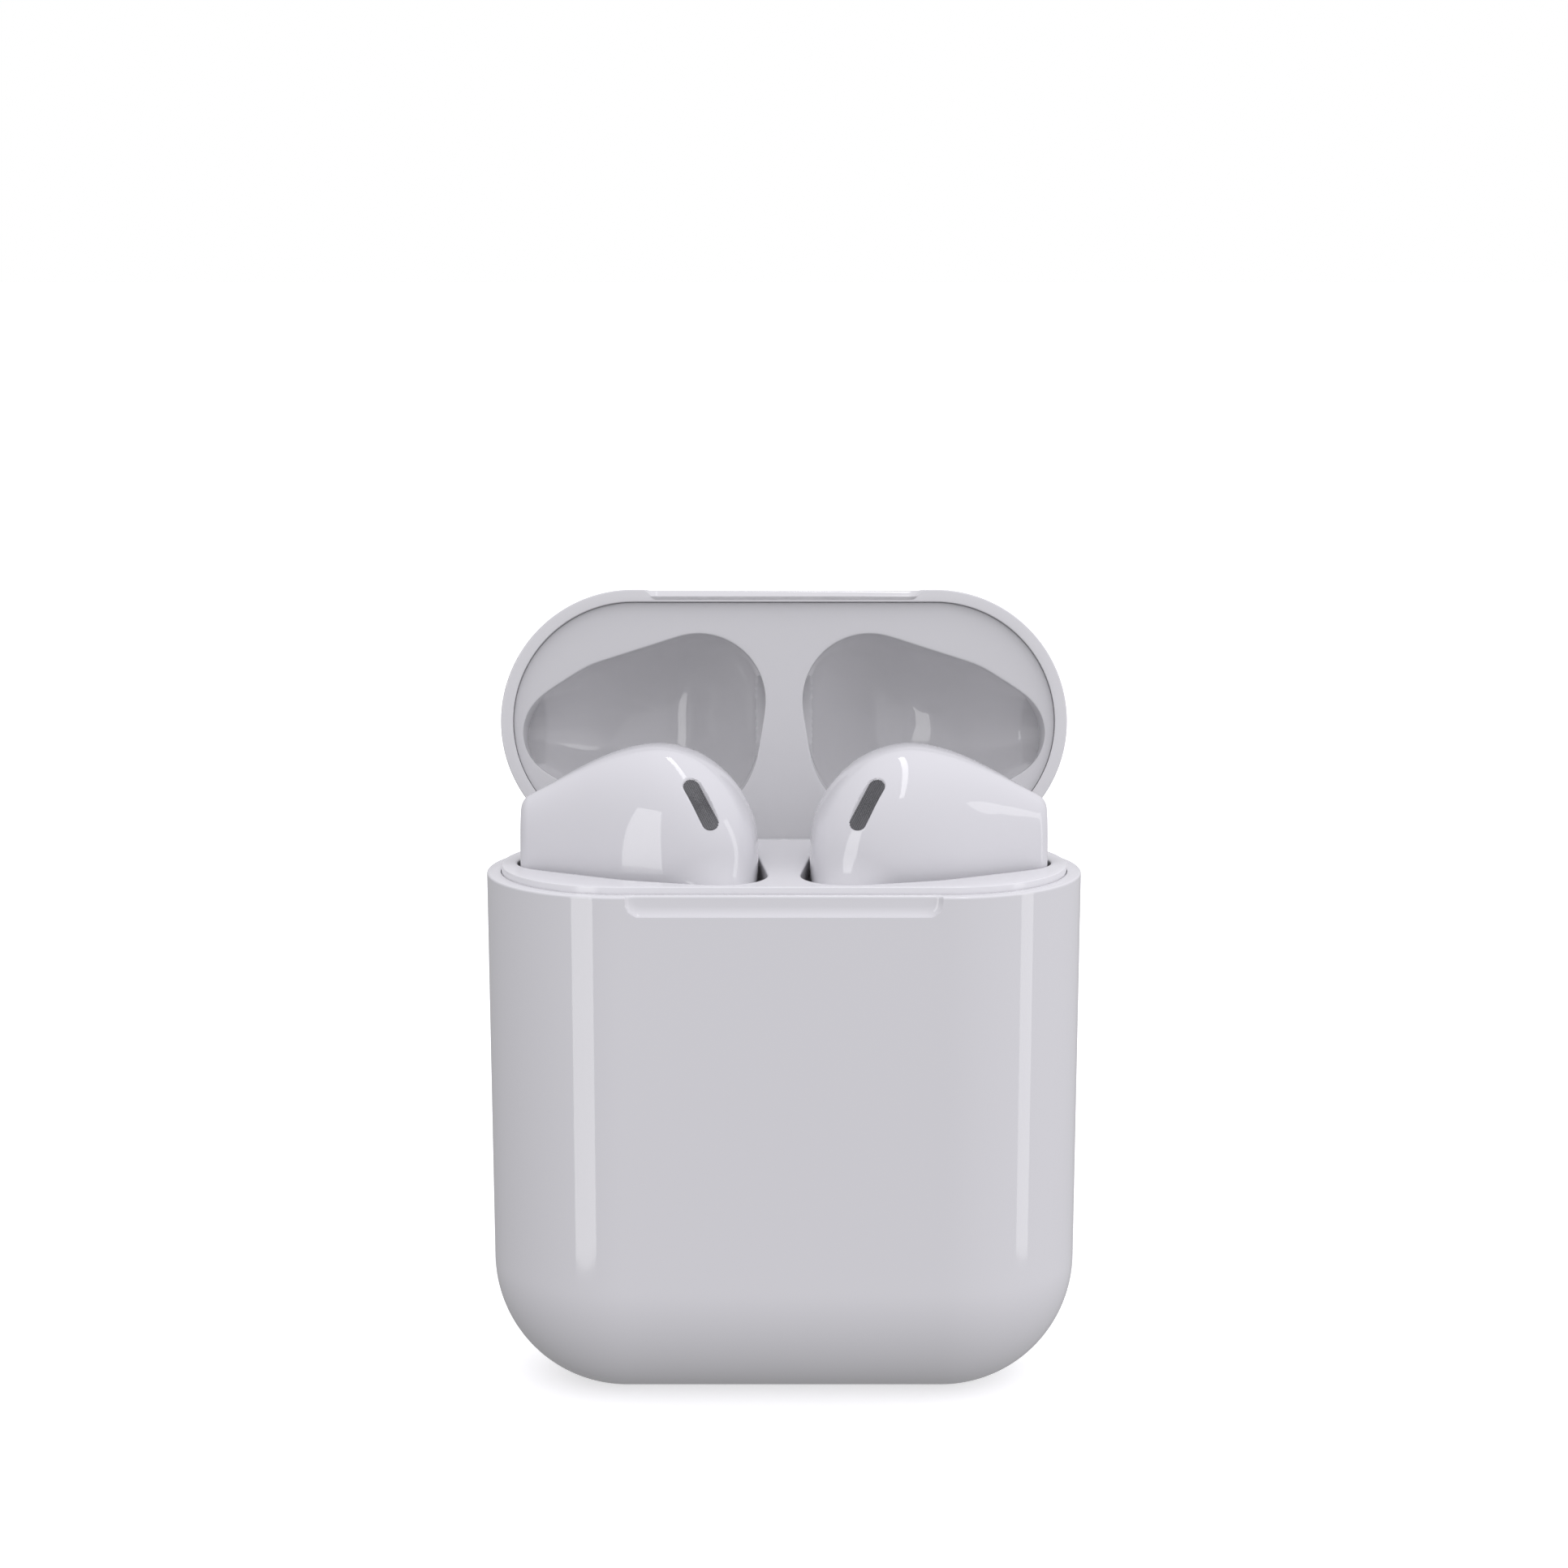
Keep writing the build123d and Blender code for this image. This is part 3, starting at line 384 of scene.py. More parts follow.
def half_outline(angles, radius):
    """Where rays from the mouth's centre leave the left half of a stadium: the centre x and the
    outward angle of each point, and whether it lies on the middle line instead."""
    cx, cy = MOUTH_CENTRE
    ux, uy = np.cos(angles), np.sin(angles)
    with np.errstate(divide="ignore", invalid="ignore"):
        to_middle = np.where(ux > 1e-9, -cx / ux, np.inf)
        to_flat = np.where(np.abs(uy) > 1e-9, (np.sign(uy) * radius - cy) / uy, np.inf)
    middle = to_middle < to_flat - 1e-9
    x = cx + to_flat * ux
    turned_end = ~middle & (x < -STRAIGHT)
    b = (cx + STRAIGHT) * ux + cy * uy
    c = (cx + STRAIGHT) ** 2 + cy**2 - radius**2
    far = -b + np.sqrt(b**2 - c)
    angle = np.where(turned_end, np.arctan2(cy + far * uy, cx + far * ux + STRAIGHT),
                     np.sign(uy) * pi / 2)
    centre = np.where(turned_end, -STRAIGHT, np.where(middle, 0, x))
    return centre, angle, middle, cy + to_middle * uy


def plate_grids(circles, radius, face_z, inward, edge, bowl, side_rows):
    """Left half of a stadium plate round a mouth, and what goes down from the mouth's edge.
    Rays from the mouth's centre carry the mouth outline out to the plate's outline."""
    corner = atan2(radius, -MOUTH_CENTRE[0])
    angles = np.sort(np.concatenate([np.linspace(-pi, pi, 289), [corner, -corner]]))
    mouth = mouth_curve(circles, angles)
    ahead = np.roll(mouth[:-1], -1, 0) - np.roll(mouth[:-1], 1, 0)
    ahead = np.concatenate([ahead, ahead[:1]])
    out = np.stack([ahead[:, 1], -ahead[:, 0]], 1) / np.hypot(*ahead.T)[:, None]
    centre, turn, middle, middle_y = half_outline(angles, radius)
    outline = np.where(middle[:, None], np.stack([np.zeros(len(angles)), middle_y], 1),
                       np.stack([centre + radius * np.cos(turn), radius * np.sin(turn)], 1))
    rows = bowl(mouth, angles)
    for t in np.radians(np.linspace(0, 90, 6)):
        flat = mouth + out * edge * (1 - cos(t))
        rows.append(np.column_stack([flat, np.full(len(flat), face_z + inward * edge * (1 - sin(t)))]))
    start = mouth + out * edge
    for t in (0.12, 0.3, 0.5, 0.75, 1.0):
        flat = start + (outline - start) * t
        rows.append(np.column_stack([flat, np.full(len(flat), face_z)]))
    plate = np.stack(rows)
    kept = ~middle | (np.abs(np.abs(angles) - corner) < 1e-6)
    order = np.argsort(np.mod(angles[kept], 2 * pi))
    centre, turn = centre[kept][order], turn[kept][order]
    side = np.stack([np.column_stack([centre + r * np.cos(turn), r * np.sin(turn),
                                      np.full(len(turn), z)]) for r, z in side_rows])
    return [plate, side]


def mirrored(grids):
    """The grids and their mirror images."""
    return grids + [grid * np.array([-1.0, 1.0, 1.0]) for grid in grids]


# ================================================================ earbud shape
reach_at = np.sqrt(HEAD_END - np.array([row[0] for row in HEAD]))[::-1]
fine_reach = np.linspace(0, reach_at[-1] + 0.1, 1500)


def smooth_column(values):
    """Smooth curve through a column of the head's table, over the root of the distance from its
    end: cubic pieces whose slopes are those between each value's two neighbours."""
    values = np.array(values)[::-1]
    slope = np.gradient(values, reach_at)
    i = np.clip(np.searchsorted(reach_at, fine_reach) - 1, 0, len(reach_at) - 2)
    step = reach_at[i + 1] - reach_at[i]
    t = (fine_reach - reach_at[i]) / step
    return ((2 * t**3 - 3 * t**2 + 1) * values[i] + (t**3 - 2 * t**2 + t) * step * slope[i]
            + (3 * t**2 - 2 * t**3) * values[i + 1] + (t**3 - t**2) * step * slope[i + 1])


front_fine, back_fine, bottom_fine, top_fine = (smooth_column(c) for c in list(zip(*HEAD))[1:])


def head_sides(x):
    """Front, back, bottom and top of the head at some x, with the nozzle's edge rounded off."""
    reach = np.sqrt(np.clip(HEAD_END - x, 0, None))
    front, back, bottom, top = (np.interp(reach, fine_reach, c)
                                for c in (front_fine, back_fine, bottom_fine, top_fine))
    near = np.clip((NOZZLE_X + NOZZLE_ROUND - x) / NOZZLE_ROUND, 0, 1)
    trim = NOZZLE_ROUND * (1 - np.sqrt(1 - near**2))
    return front + trim, back - trim, bottom + trim, top - trim


def bud_field(x, y, z):
    """Below zero inside the earbud: rounded-square sections of the head across X and the upright
    stem with its round top, joined by a smooth minimum that leaves a fillet."""
    front, back, bottom, top = head_sides(x)
    wide, tall = np.maximum((back - front) / 2, 1e-3), np.maximum((top - bottom) / 2, 1e-3)
    a = np.abs(y - (front + back) / 2) / wide
    b = np.abs(z - (bottom + top) / 2) / tall
    head = ((a**HEAD_POWER + b**HEAD_POWER) ** (1 / HEAD_POWER) - 1) * np.minimum(wide, tall)
    head = np.maximum(head, x - HEAD_END)
    over = np.maximum(z - RIDGE_TOP, 0)
    stem = np.sqrt((x - STEM_X) ** 2 + (y - STEM_Y) ** 2 + over**2) - STEM_RADIUS
    mix = np.clip(1 - np.abs(head - stem) / BLEND, 0, 1)
    return np.minimum(head, stem) - mix**2 * BLEND / 4


def first_crossing(centre, direction, reach):
    """Distance from inside to the surface along each direction: the first step that is outside,
    then halving."""
    def value(t):
        point = centre + direction * t[..., None]
        return bud_field(point[..., 0], point[..., 1], point[..., 2])
    found = np.full(direction.shape[:2], reach)
    for t in np.linspace(reach, 0, 64):
        trial = np.full(direction.shape[:2], t)
        found = np.where(value(trial) > 0, trial, found)
    low, high = found - reach / 63, found
    for _ in range(20):
        middle = (low + high) / 2
        outside = value(middle) > 0
        low, high = np.where(outside, low, middle), np.where(outside, middle, high)
    return (low + high) / 2


VENT_NORMAL = VENT_FACING / np.linalg.norm(VENT_FACING)
sideways = np.cross(VENT_NORMAL, VENT_SLANT)
VENT_ACROSS = sideways / np.linalg.norm(sideways)
VENT_ALONG = np.cross(VENT_ACROSS, VENT_NORMAL)


def vent_dent(point):
    """How far the skin goes in at the vent: down to a flat floor within the slot's outline, with
    a round lip."""
    offset = point - VENT_POINT
    u, v, w = offset @ VENT_ALONG, offset @ VENT_ACROSS, offset @ VENT_NORMAL
    beyond = np.maximum(np.abs(u) - (VENT_HALF_LENGTH - VENT_HALF_WIDTH), 0)
    gap = np.hypot(beyond, v) - VENT_HALF_WIDTH
    share = np.clip((0.09 - gap) / 0.17, 0, 1)
    return np.where(np.abs(w) < 2, share**1.5 * (2.5 - 1.5 * share), 0) * (w + VENT_RECESS)


def bud_grid():
    """Skin of the left earbud as closed rings: level ones up the stem, a fan that turns them
    upright in the head, then upright ones to the nozzle, each found along rays from its middle."""
    level = np.concatenate([np.linspace(STEM_BOTTOM + CAP_HEIGHT, -16, 12),
                            np.linspace(-15.2, -9.2, 12)])
    fan = np.radians(np.concatenate([np.linspace(0, 68, 52), np.arange(69, 87, 0.26),
                                     np.linspace(87.5, 89, 3)]))
    upright = np.concatenate([np.linspace(-9.0, -18.8, 56), NOZZLE_X + NOZZLE_ROUND
                              - NOZZLE_ROUND * np.sin(np.radians(np.linspace(0, 90, 14)))])
    beta = np.radians(np.concatenate([np.linspace(-180, -76, 40), np.arange(-74, -12, 0.62),
                                      np.linspace(-10, 180, 72)]))
    share = fan / (pi / 2)
    ease = share**2 * (3 - 2 * share)
    start = PLANE_PIVOT_Z
    front, back, bottom, top = head_sides(np.array([PLANE_PIVOT_X]))
    mid_y, mid_z = float(front[0] + back[0]) / 2, float(bottom[0] + top[0]) / 2
    arm = STEM_X - PLANE_PIVOT_X
    arm = arm + (mid_z - start - arm) * ease
    along_y = STEM_Y + (mid_y - STEM_Y) * ease
    fan_centre = np.stack([PLANE_PIVOT_X + arm * np.cos(fan), along_y, start + arm * np.sin(fan)], 1)
    front, back, bottom, top = head_sides(upright)
    centre = np.concatenate([
        np.stack([np.full(len(level), STEM_X), np.full(len(level), STEM_Y), level], 1), fan_centre,
        np.stack([upright, (front + back) / 2, (bottom + top) / 2], 1)])
    lean = np.concatenate([np.zeros(len(level)), fan, np.full(len(upright), pi / 2)])
    radial = np.stack([np.cos(lean), np.zeros(len(lean)), np.sin(lean)], 1)
    turn_cos, turn_sin = np.cos(beta)[:, None], np.sin(beta)[:, None]
    direction = turn_cos * radial[:, None] + turn_sin * np.array([0, 1, 0])
    distance = first_crossing(centre[:, None], direction, 16.0)
    skin = centre[:, None] + direction * distance[..., None]
    skin -= vent_dent(skin)[..., None] * VENT_NORMAL
    skin[:, -1] = skin[:, 0]
    floor = np.broadcast_to(skin[0].mean(0) * [0, 0, 1] + [STEM_X, STEM_Y, 0], skin[0].shape)
    end = centre[-1]
    hole = end + turn_cos * [0, 0, NOZZLE_OPEN[1]] + turn_sin * [0, NOZZLE_OPEN[0], 0]
    rows = [skin[-1] + (hole - skin[-1]) * t for t in (0.35, 0.7, 0.93)]
    rows += [hole + [0.03, 0, 0], hole + [0.1, 0, 0], hole + [0.5, 0, 0]]
    rows += [np.broadcast_to(end + [0.5, 0, 0], hole.shape)]
    return np.concatenate([floor[None], skin, np.stack(rows)]) + [0, 0, RIM_Z]


def cut_piece(name, grid, keep_front, body, material, stands_for):
    """Part of the earbud's skin in front of or behind the rear cap's seam, closed by a flat."""
    rows, columns = grid.shape[:2]
    corner = np.arange((rows - 1) * columns).reshape(rows - 1, columns)[:, :-1].ravel()
    mesh = bpy.data.meshes.new(name)
    mesh.from_pydata(grid.reshape(-1, 3) * MM, [],
                     np.stack([corner, corner + 1, corner + columns + 1, corner + columns], 1).tolist())
    soup = bmesh.new()
    soup.from_mesh(mesh)
    bmesh.ops.remove_doubles(soup, verts=soup.verts, dist=0.0015 * MM)
    side = 1 if keep_front else -1
    place = (0, (REAR_CAP_Y - side * CAP_SEAM / 2) * MM, 0)
    every = soup.verts[:] + soup.edges[:] + soup.faces[:]
    bmesh.ops.bisect_plane(soup, geom=every, dist=0.0005 * MM, plane_co=place,
                           plane_no=(0, side, 0), clear_outer=True)
    loop = [edge for edge in soup.edges if edge.is_boundary]
    bmesh.ops.holes_fill(soup, edges=loop, sides=0)
    bmesh.ops.recalc_face_normals(soup, faces=soup.faces)
    soup.to_mesh(mesh)
    soup.free()
    return finish_piece(name, mesh, body, material, stands_for)


# ================================================================ woven meshes
def woven_height(u, v):
    """Plain weave: each wire is a round bar that rises and falls over its neighbours, and the
    surface is the higher of the two wires at a point."""
    pitch, wire, swing = MESH_PITCH, MESH_PITCH * 0.34, MESH_PITCH * 0.16

    def wires(a, b, phase):
        row = np.round(b / pitch)
        rise = swing * np.cos(pi * a / pitch) * np.where(row % 2 == 0, 1, -1) * phase
        return rise + np.sqrt(np.clip(wire**2 - (b - row * pitch) ** 2, 0, None))
    return np.maximum(wires(u, v, 1), wires(v, u, -1))


def woven_grid(origin, u_dir, v_dir, half_u, half_v, square, rings, steps):
    """Closed lens of woven mesh: rings from its middle out to an oval or stadium outline, raised
    by the weave, with a flat back."""
    angle = np.linspace(0, 2 * pi, steps + 1)
    ease = np.linspace(0, 1, rings)[:, None]
    if square:
        half_straight = half_u - half_v
        run = np.clip(np.cos(angle) * half_u, -half_straight, half_straight)
        swing = np.arctan2(np.sin(angle) * half_v, np.cos(angle) * half_u - run)
        u, v = ease * (run + half_v * np.cos(swing)), ease * half_v * np.sin(swing)
    else:
        u, v = ease * half_u * np.cos(angle), ease * half_v * np.sin(angle)
    height = woven_height(u, v)
    normal = np.cross(u_dir, v_dir)
    top = origin + u[..., None] * u_dir + v[..., None] * v_dir + height[..., None] * normal
    back = origin + u[[-1, 0]][..., None] * u_dir + v[[-1, 0]][..., None] * v_dir - 0.08 * normal
    return np.concatenate([top, back])


# ================================================================ materials
def add_node(tree, kind, inputs=None, **settings):
    """Node of a shader tree with its settings, and inputs that are values or links."""
    node = tree.nodes.new("ShaderNode" + kind)
    for name, value in settings.items():
        setattr(node, name, value)
    for name, value in (inputs or {}).items():
        if isinstance(value, bpy.types.NodeSocket):
            tree.links.new(value, node.inputs[name])
        else:
            node.inputs[name].default_value = value
    return node


def start_group(name, inputs, outputs):
    """Empty shader node group with named float, vector or colour sockets."""
    group = bpy.data.node_groups.new(name, "ShaderNodeTree")
    for way, sockets in (("INPUT", inputs), ("OUTPUT", outputs)):
        for socket, kind in sockets.items():
            group.interface.new_socket(socket, in_out=way, socket_type="NodeSocket" + kind)
    return group, group.nodes.new("NodeGroupInput"), group.nodes.new("NodeGroupOutput")


def moulded_group():
    """Moulded plastic: a faint orange-peel relief, and roughness that wanders where hands polish it."""
    group, given, result = start_group(
        "moulded skin", {"Vector": "Vector", "Low": "Float", "High": "Float"},
        {"Roughness": "Float", "Height": "Float"})
    rubbed = add_node(group, "TexNoise", {"Vector": given.outputs["Vector"], "Scale": 140.0,
                                          "Detail": 4.0, "Roughness": 0.55})
    rough = add_node(group, "MapRange", {"Value": rubbed.outputs[0], 1: 0.3, 2: 0.7,
                                         3: given.outputs["Low"], 4: given.outputs["High"]})
    peel = add_node(group, "TexNoise", {"Vector": given.outputs["Vector"], "Scale": 900.0,
                                        "Detail": 1.0})
    group.links.new(rough.outputs[0], result.inputs["Roughness"])
    group.links.new(peel.outputs[0], result.inputs["Height"])
    return group


def tint_group():
    """Slow drift between two near colours, as in a dyed batch of plastic."""
    group, given, result = start_group(
        "batch tint", {"Vector": "Vector", "First": "Color", "Second": "Color", "Scale": "Float"},
        {"Colour": "Color"})
    drift = add_node(group, "TexNoise", {"Vector": given.outputs["Vector"],
                                         "Scale": given.outputs["Scale"], "Detail": 2.0})
    mix = add_node(group, "Mix", {0: drift.outputs[0], 6: given.outputs["First"],
                                  7: given.outputs["Second"]}, data_type="RGBA")
    group.links.new(mix.outputs[2], result.inputs["Colour"])
    return group


def brushed_group():
    """Brushed or drawn metal: long thin streaks from noise squeezed across one direction."""
    group, given, result = start_group(
        "brushed lines", {"Vector": "Vector", "Low": "Float", "High": "Float", "Stretch": "Vector"},
        {"Roughness": "Float", "Height": "Float"})
    squeezed = add_node(group, "VectorMath", {0: given.outputs["Vector"], 1: given.outputs["Stretch"]},
                        operation="MULTIPLY")
    lines = add_node(group, "TexNoise", {"Vector": squeezed.outputs[0], "Scale": 1.0, "Detail": 5.0,
                                         "Roughness": 0.7})
    rough = add_node(group, "MapRange", {"Value": lines.outputs[0], 1: 0.35, 2: 0.65,
                                         3: given.outputs["Low"], 4: given.outputs["High"]})
    group.links.new(rough.outputs[0], result.inputs["Roughness"])
    group.links.new(lines.outputs[0], result.inputs["Height"])
    return group


MOULDED, TINT, BRUSHED = moulded_group(), tint_group(), brushed_group()


def use_group(tree, group, inputs):
    """Node that places a group in a tree."""
    node = tree.nodes.new("ShaderNodeGroup")
    node.node_tree = group
    for name, value in inputs.items():
        if isinstance(value, bpy.types.NodeSocket):
            tree.links.new(value, node.inputs[name])
        else:
            node.inputs[name].default_value = value
    return node


def start_material(name, first, second, tint_scale):
    """Principled material on object coordinates whose colour drifts between two near tints."""
    material = bpy.data.materials.new(name)
    material.use_nodes = True
    tree = material.node_tree
    surface = tree.nodes["Principled BSDF"]
    place = add_node(tree, "TexCoord").outputs["Object"]
    tint = use_group(tree, TINT, {"Vector": place, "First": (*first, 1), "Second": (*second, 1),
                                  "Scale": tint_scale})
    tree.links.new(tint.outputs[0], surface.inputs["Base Color"])
    return material, tree, surface, place


def add_relief(tree, surface, texture, distance):
    """Roughness and bump of a surface from a placed group."""
    tree.links.new(texture.outputs["Roughness"], surface.inputs["Roughness"])
    bump = add_node(tree, "Bump", {"Height": texture.outputs["Height"], "Distance": distance})
    tree.links.new(bump.outputs[0], surface.inputs["Normal"])


def plastic(name, first, second, low, high, relief=2e-6, tint_scale=60.0):
    """Moulded plastic, gloss to matte: its two tints and its least and most roughness."""
    material, tree, surface, place = start_material(name, first, second, tint_scale)
    texture = use_group(tree, MOULDED, {"Vector": place, "Low": low, "High": high})
    add_relief(tree, surface, texture, relief)
    return material


def metal(name, first, second, low, high, stretch, relief=1e-6, tint_scale=90.0):
    """Brushed, drawn or rolled metal, with its lines squeezed by the stretch."""
    material, tree, surface, place = start_material(name, first, second, tint_scale)
    surface.inputs["Metallic"].default_value = 1.0
    texture = use_group(tree, BRUSHED, {"Vector": place, "Low": low, "High": high, "Stretch": stretch})
    add_relief(tree, surface, texture, relief)
    return material


GLOSS = plastic("gloss shell", (0.792, 0.788, 0.806), (0.80, 0.796, 0.812), 0.03, 0.05, relief=6e-7)
# Painted light: the tray is the shell's plastic made paler, standing in for more light on its up-facing
# top.
SATIN = plastic("satin tray with painted light", (0.83, 0.826, 0.845), (0.838, 0.834, 0.85), 0.10, 0.16, relief=1e-6)
LINER = plastic("gloss liner", (0.655, 0.653, 0.664), (0.665, 0.663, 0.674), 0.05, 0.09, relief=8e-7)
# Painted shade: the lid is the body's gloss plastic made darker, standing in for dimmer light on its
# faces.
LID = plastic("gloss lid with painted shade", (0.722, 0.719, 0.728), (0.732, 0.729, 0.738), 0.03, 0.05, relief=6e-7)
# Painted shade: the earbuds' white plastic is made darker to hold down the light on their tops.
BUD = plastic("gloss earbud with painted shade", (0.738, 0.734, 0.756), (0.748, 0.744, 0.764), 0.03, 0.05, relief=5e-7)
WEAVE = metal("woven wire", (0.10, 0.10, 0.105), (0.16, 0.16, 0.165), 0.35, 0.5, (9000, 9000, 9000))
WINDOW = plastic("sensor window", (0.012, 0.012, 0.014), (0.02, 0.018, 0.022), 0.05, 0.09)
STEEL = metal("brushed steel", (0.62, 0.62, 0.63), (0.70, 0.70, 0.71), 0.2, 0.34, (300, 9000, 9000))
SCREW = metal("zinc screws", (0.42, 0.42, 0.44), (0.5, 0.5, 0.52), 0.28, 0.4, (5000, 5000, 900))
SPRING = metal("spring steel", (0.52, 0.52, 0.54), (0.6, 0.59, 0.58), 0.22, 0.36, (4000, 4000, 4000))
CHROME = metal("polished end", (0.70, 0.70, 0.71), (0.76, 0.76, 0.77), 0.10, 0.18, (1500, 1500, 12000))
GOLD = metal("gold plate", (0.80, 0.60, 0.28), (0.86, 0.68, 0.36), 0.16, 0.28, (3000, 3000, 9000))
NICKEL = metal("nickel plate", (0.62, 0.60, 0.56), (0.70, 0.69, 0.66), 0.14, 0.3, (2500, 2500, 2500))
FOIL = metal("cell foil", (0.55, 0.55, 0.57), (0.66, 0.66, 0.68), 0.3, 0.5, (600, 600, 600), relief=2e-5)
PRESSED = metal("pressed driver can", (0.48, 0.45, 0.38), (0.58, 0.55, 0.48), 0.25, 0.4,
                (400, 6000, 6000))
BOARD = plastic("solder mask", (0.012, 0.085, 0.045), (0.02, 0.13, 0.07), 0.25, 0.45, tint_scale=700.0)
CHIP = plastic("chip resin", (0.02, 0.02, 0.022), (0.035, 0.035, 0.037), 0.45, 0.6, relief=1e-5)
FLEX = plastic("polyimide flex", (0.42, 0.20, 0.035), (0.52, 0.27, 0.06), 0.25, 0.4, tint_scale=400.0)
TAPE = plastic("black tape", (0.02, 0.02, 0.02), (0.035, 0.034, 0.033), 0.7, 0.85, relief=2e-5)
INNER = plastic("dark moulding", (0.035, 0.035, 0.038), (0.055, 0.055, 0.058), 0.4, 0.55, relief=6e-6)
RUBBER = plastic("seal rubber", (0.02, 0.02, 0.021), (0.03, 0.03, 0.031), 0.6, 0.8, relief=1e-5)

CARRIED = {
    STEEL: ["hinge_bracket", "lid_leaf", "port_shell"],
    CHROME: ["hinge_pin"],
    SCREW: ["hinge_screws", "lid_screws"],
    SPRING: ["hinge_spring", "contact_springs_left", "contact_springs_right"],
    GOLD: [f"contact_pin_{s}_{p}" for s in ("left", "right") for p in ("outer", "inner")],
    NICKEL: ["base_magnets", "well_magnets", "lid_magnets", "bud_magnet_left", "bud_magnet_right"],
    FOIL: ["battery_cell", "bud_battery_left", "bud_battery_right"],
    PRESSED: ["speaker_driver_left", "speaker_driver_right"],
    BOARD: ["main_board", "port_board", "bud_board_left", "bud_board_right"],
    CHIP: ["board_chips", "hall_sensor", "status_led", "port_tongue"],
    FLEX: ["port_flex", "contact_flex", "sensor_flex"],
    TAPE: ["battery_tape"],
    INNER: ["button_frame", "button_switch", "contact_block_left", "contact_block_right"],
    RUBBER: ["port_seal"],
}
for material, names in CARRIED.items():
    for name in names:
        nodes[name].data.materials.clear()
        nodes[name].data.materials.append(material)

# ================================================================ pieces of the case
make_piece("shell_body", case_shell_grids(), "case", GLOSS, ["case_shell"])
make_piece("rear_button", setup_button_grids(), "setup_button", GLOSS, ["setup_button"])
make_piece("shell_lid", lid_shell_grids(), "lid", LID, ["lid_shell"])


def pocket_bowl(mouth, angles):
    """Pocket over a head: rows that shrink from the mouth to its middle while they deepen along a
    rounded-square arc, never closer to the head than its room."""
    middle = np.array([-9.4, -1.2])
    rows = []
    for t in np.radians(np.linspace(0, 86, 44)):
        share, rise = sin(t) ** (2 / 2.2), cos(t) ** (2 / 2.2)
        flat = middle + (mouth - middle) * share
        front, back, bottom, top = head_sides(np.clip(flat[:, 0], NOZZLE_X + 0.7, HEAD_END - 0.3))
        across = np.clip(np.abs(flat[:, 1] - (front + back) / 2) / ((back - front) / 2), 0, 1)
        head_top = (bottom + top) / 2 + (top - bottom) / 2 * (1 - across**HEAD_POWER) ** (1 / HEAD_POWER)
        bowl = (top + POCKET_CLEARANCE - LINER_RECESS) * rise
        needed = head_top + HEAD_ROOM - LINER_RECESS
        mix = np.clip(1 - np.abs(bowl - needed), 0, 1)
        depth = np.maximum(bowl, needed) + mix**2 / 4
        rows.append(np.column_stack([flat, RIM_Z + LINER_RECESS + depth]))
    return rows


def well_bowl(mouth, angles):
    """Well under a head: rows that draw in from the mouth to the stem's tube while they deepen
    along a rounded-square arc, then straight down the tube to its floor."""
    radius = STEM_RADIUS + WELL_CLEARANCE
    tube = np.stack([STEM_X + radius * np.cos(angles), STEM_Y + radius * np.sin(angles)], 1)
    floor = RIM_Z + STEM_BOTTOM - 0.42
    top = RIM_Z + LIP_HEIGHT
    rows = []
    for t in np.radians(np.linspace(0, 86, 32)):
        share, rise = sin(t) ** (2 / 2.7), cos(t) ** (2 / 2.7)
        flat = tube + (mouth - tube) * share
        bottom = head_sides(np.clip(flat[:, 0], NOZZLE_X + 0.7, HEAD_END - 0.3))[2]
        depth = LIP_HEIGHT - bottom + WELL_CLEARANCE
        rows.append(np.column_stack([flat, top - depth * rise]))
    lip = rows[0][:, 2]
    down = [np.column_stack([tube, lip + (floor - lip) * t]) for t in np.linspace(1, 0.03, 16)]
    centre = np.broadcast_to([STEM_X, STEM_Y, floor], down[0].shape)
    return [centre] + down + rows


tray_top = RIM_Z + LIP_HEIGHT
tray_radius = HALF_DEPTH - RIM_WIDTH
lip_rows = [(tray_radius - 0.1, tray_top)] + arc(tray_radius - 0.1, tray_top - 0.1, 0.1, 90, 0, 6)
lip_rows += [(tray_radius, RIM_Z - 0.1), (tray_radius - 0.02, RIM_Z - 4.5)]
tray = plate_grids(WELL_MOUTH, tray_radius - 0.1, tray_top, -1, 0.14, well_bowl, lip_rows)
give_thickness(make_piece("tray_with_wells", mirrored(tray), "case", SATIN,
                          ["inner_tray"], up=(0, 0, 1)), 0.6)

liner_z = RIM_Z + LINER_RECESS
liner_radius = HALF_DEPTH - LINER_INSET
edge_rows = [(liner_radius - 0.07, liner_z)] + arc(liner_radius - 0.07, liner_z + 0.07, 0.07, -90, 0, 5)
edge_rows += [(liner_radius, liner_z + 0.9)]
liner = plate_grids(POCKET_MOUTH, liner_radius - 0.07, liner_z, 1, 0.1, pocket_bowl, edge_rows)
liner = [swing_open(grid) for grid in mirrored(liner)]
give_thickness(make_piece("liner_with_pockets", liner, "lid", LINER, ["lid_liner"],
                          up=(0, -1, 0)), 0.5)

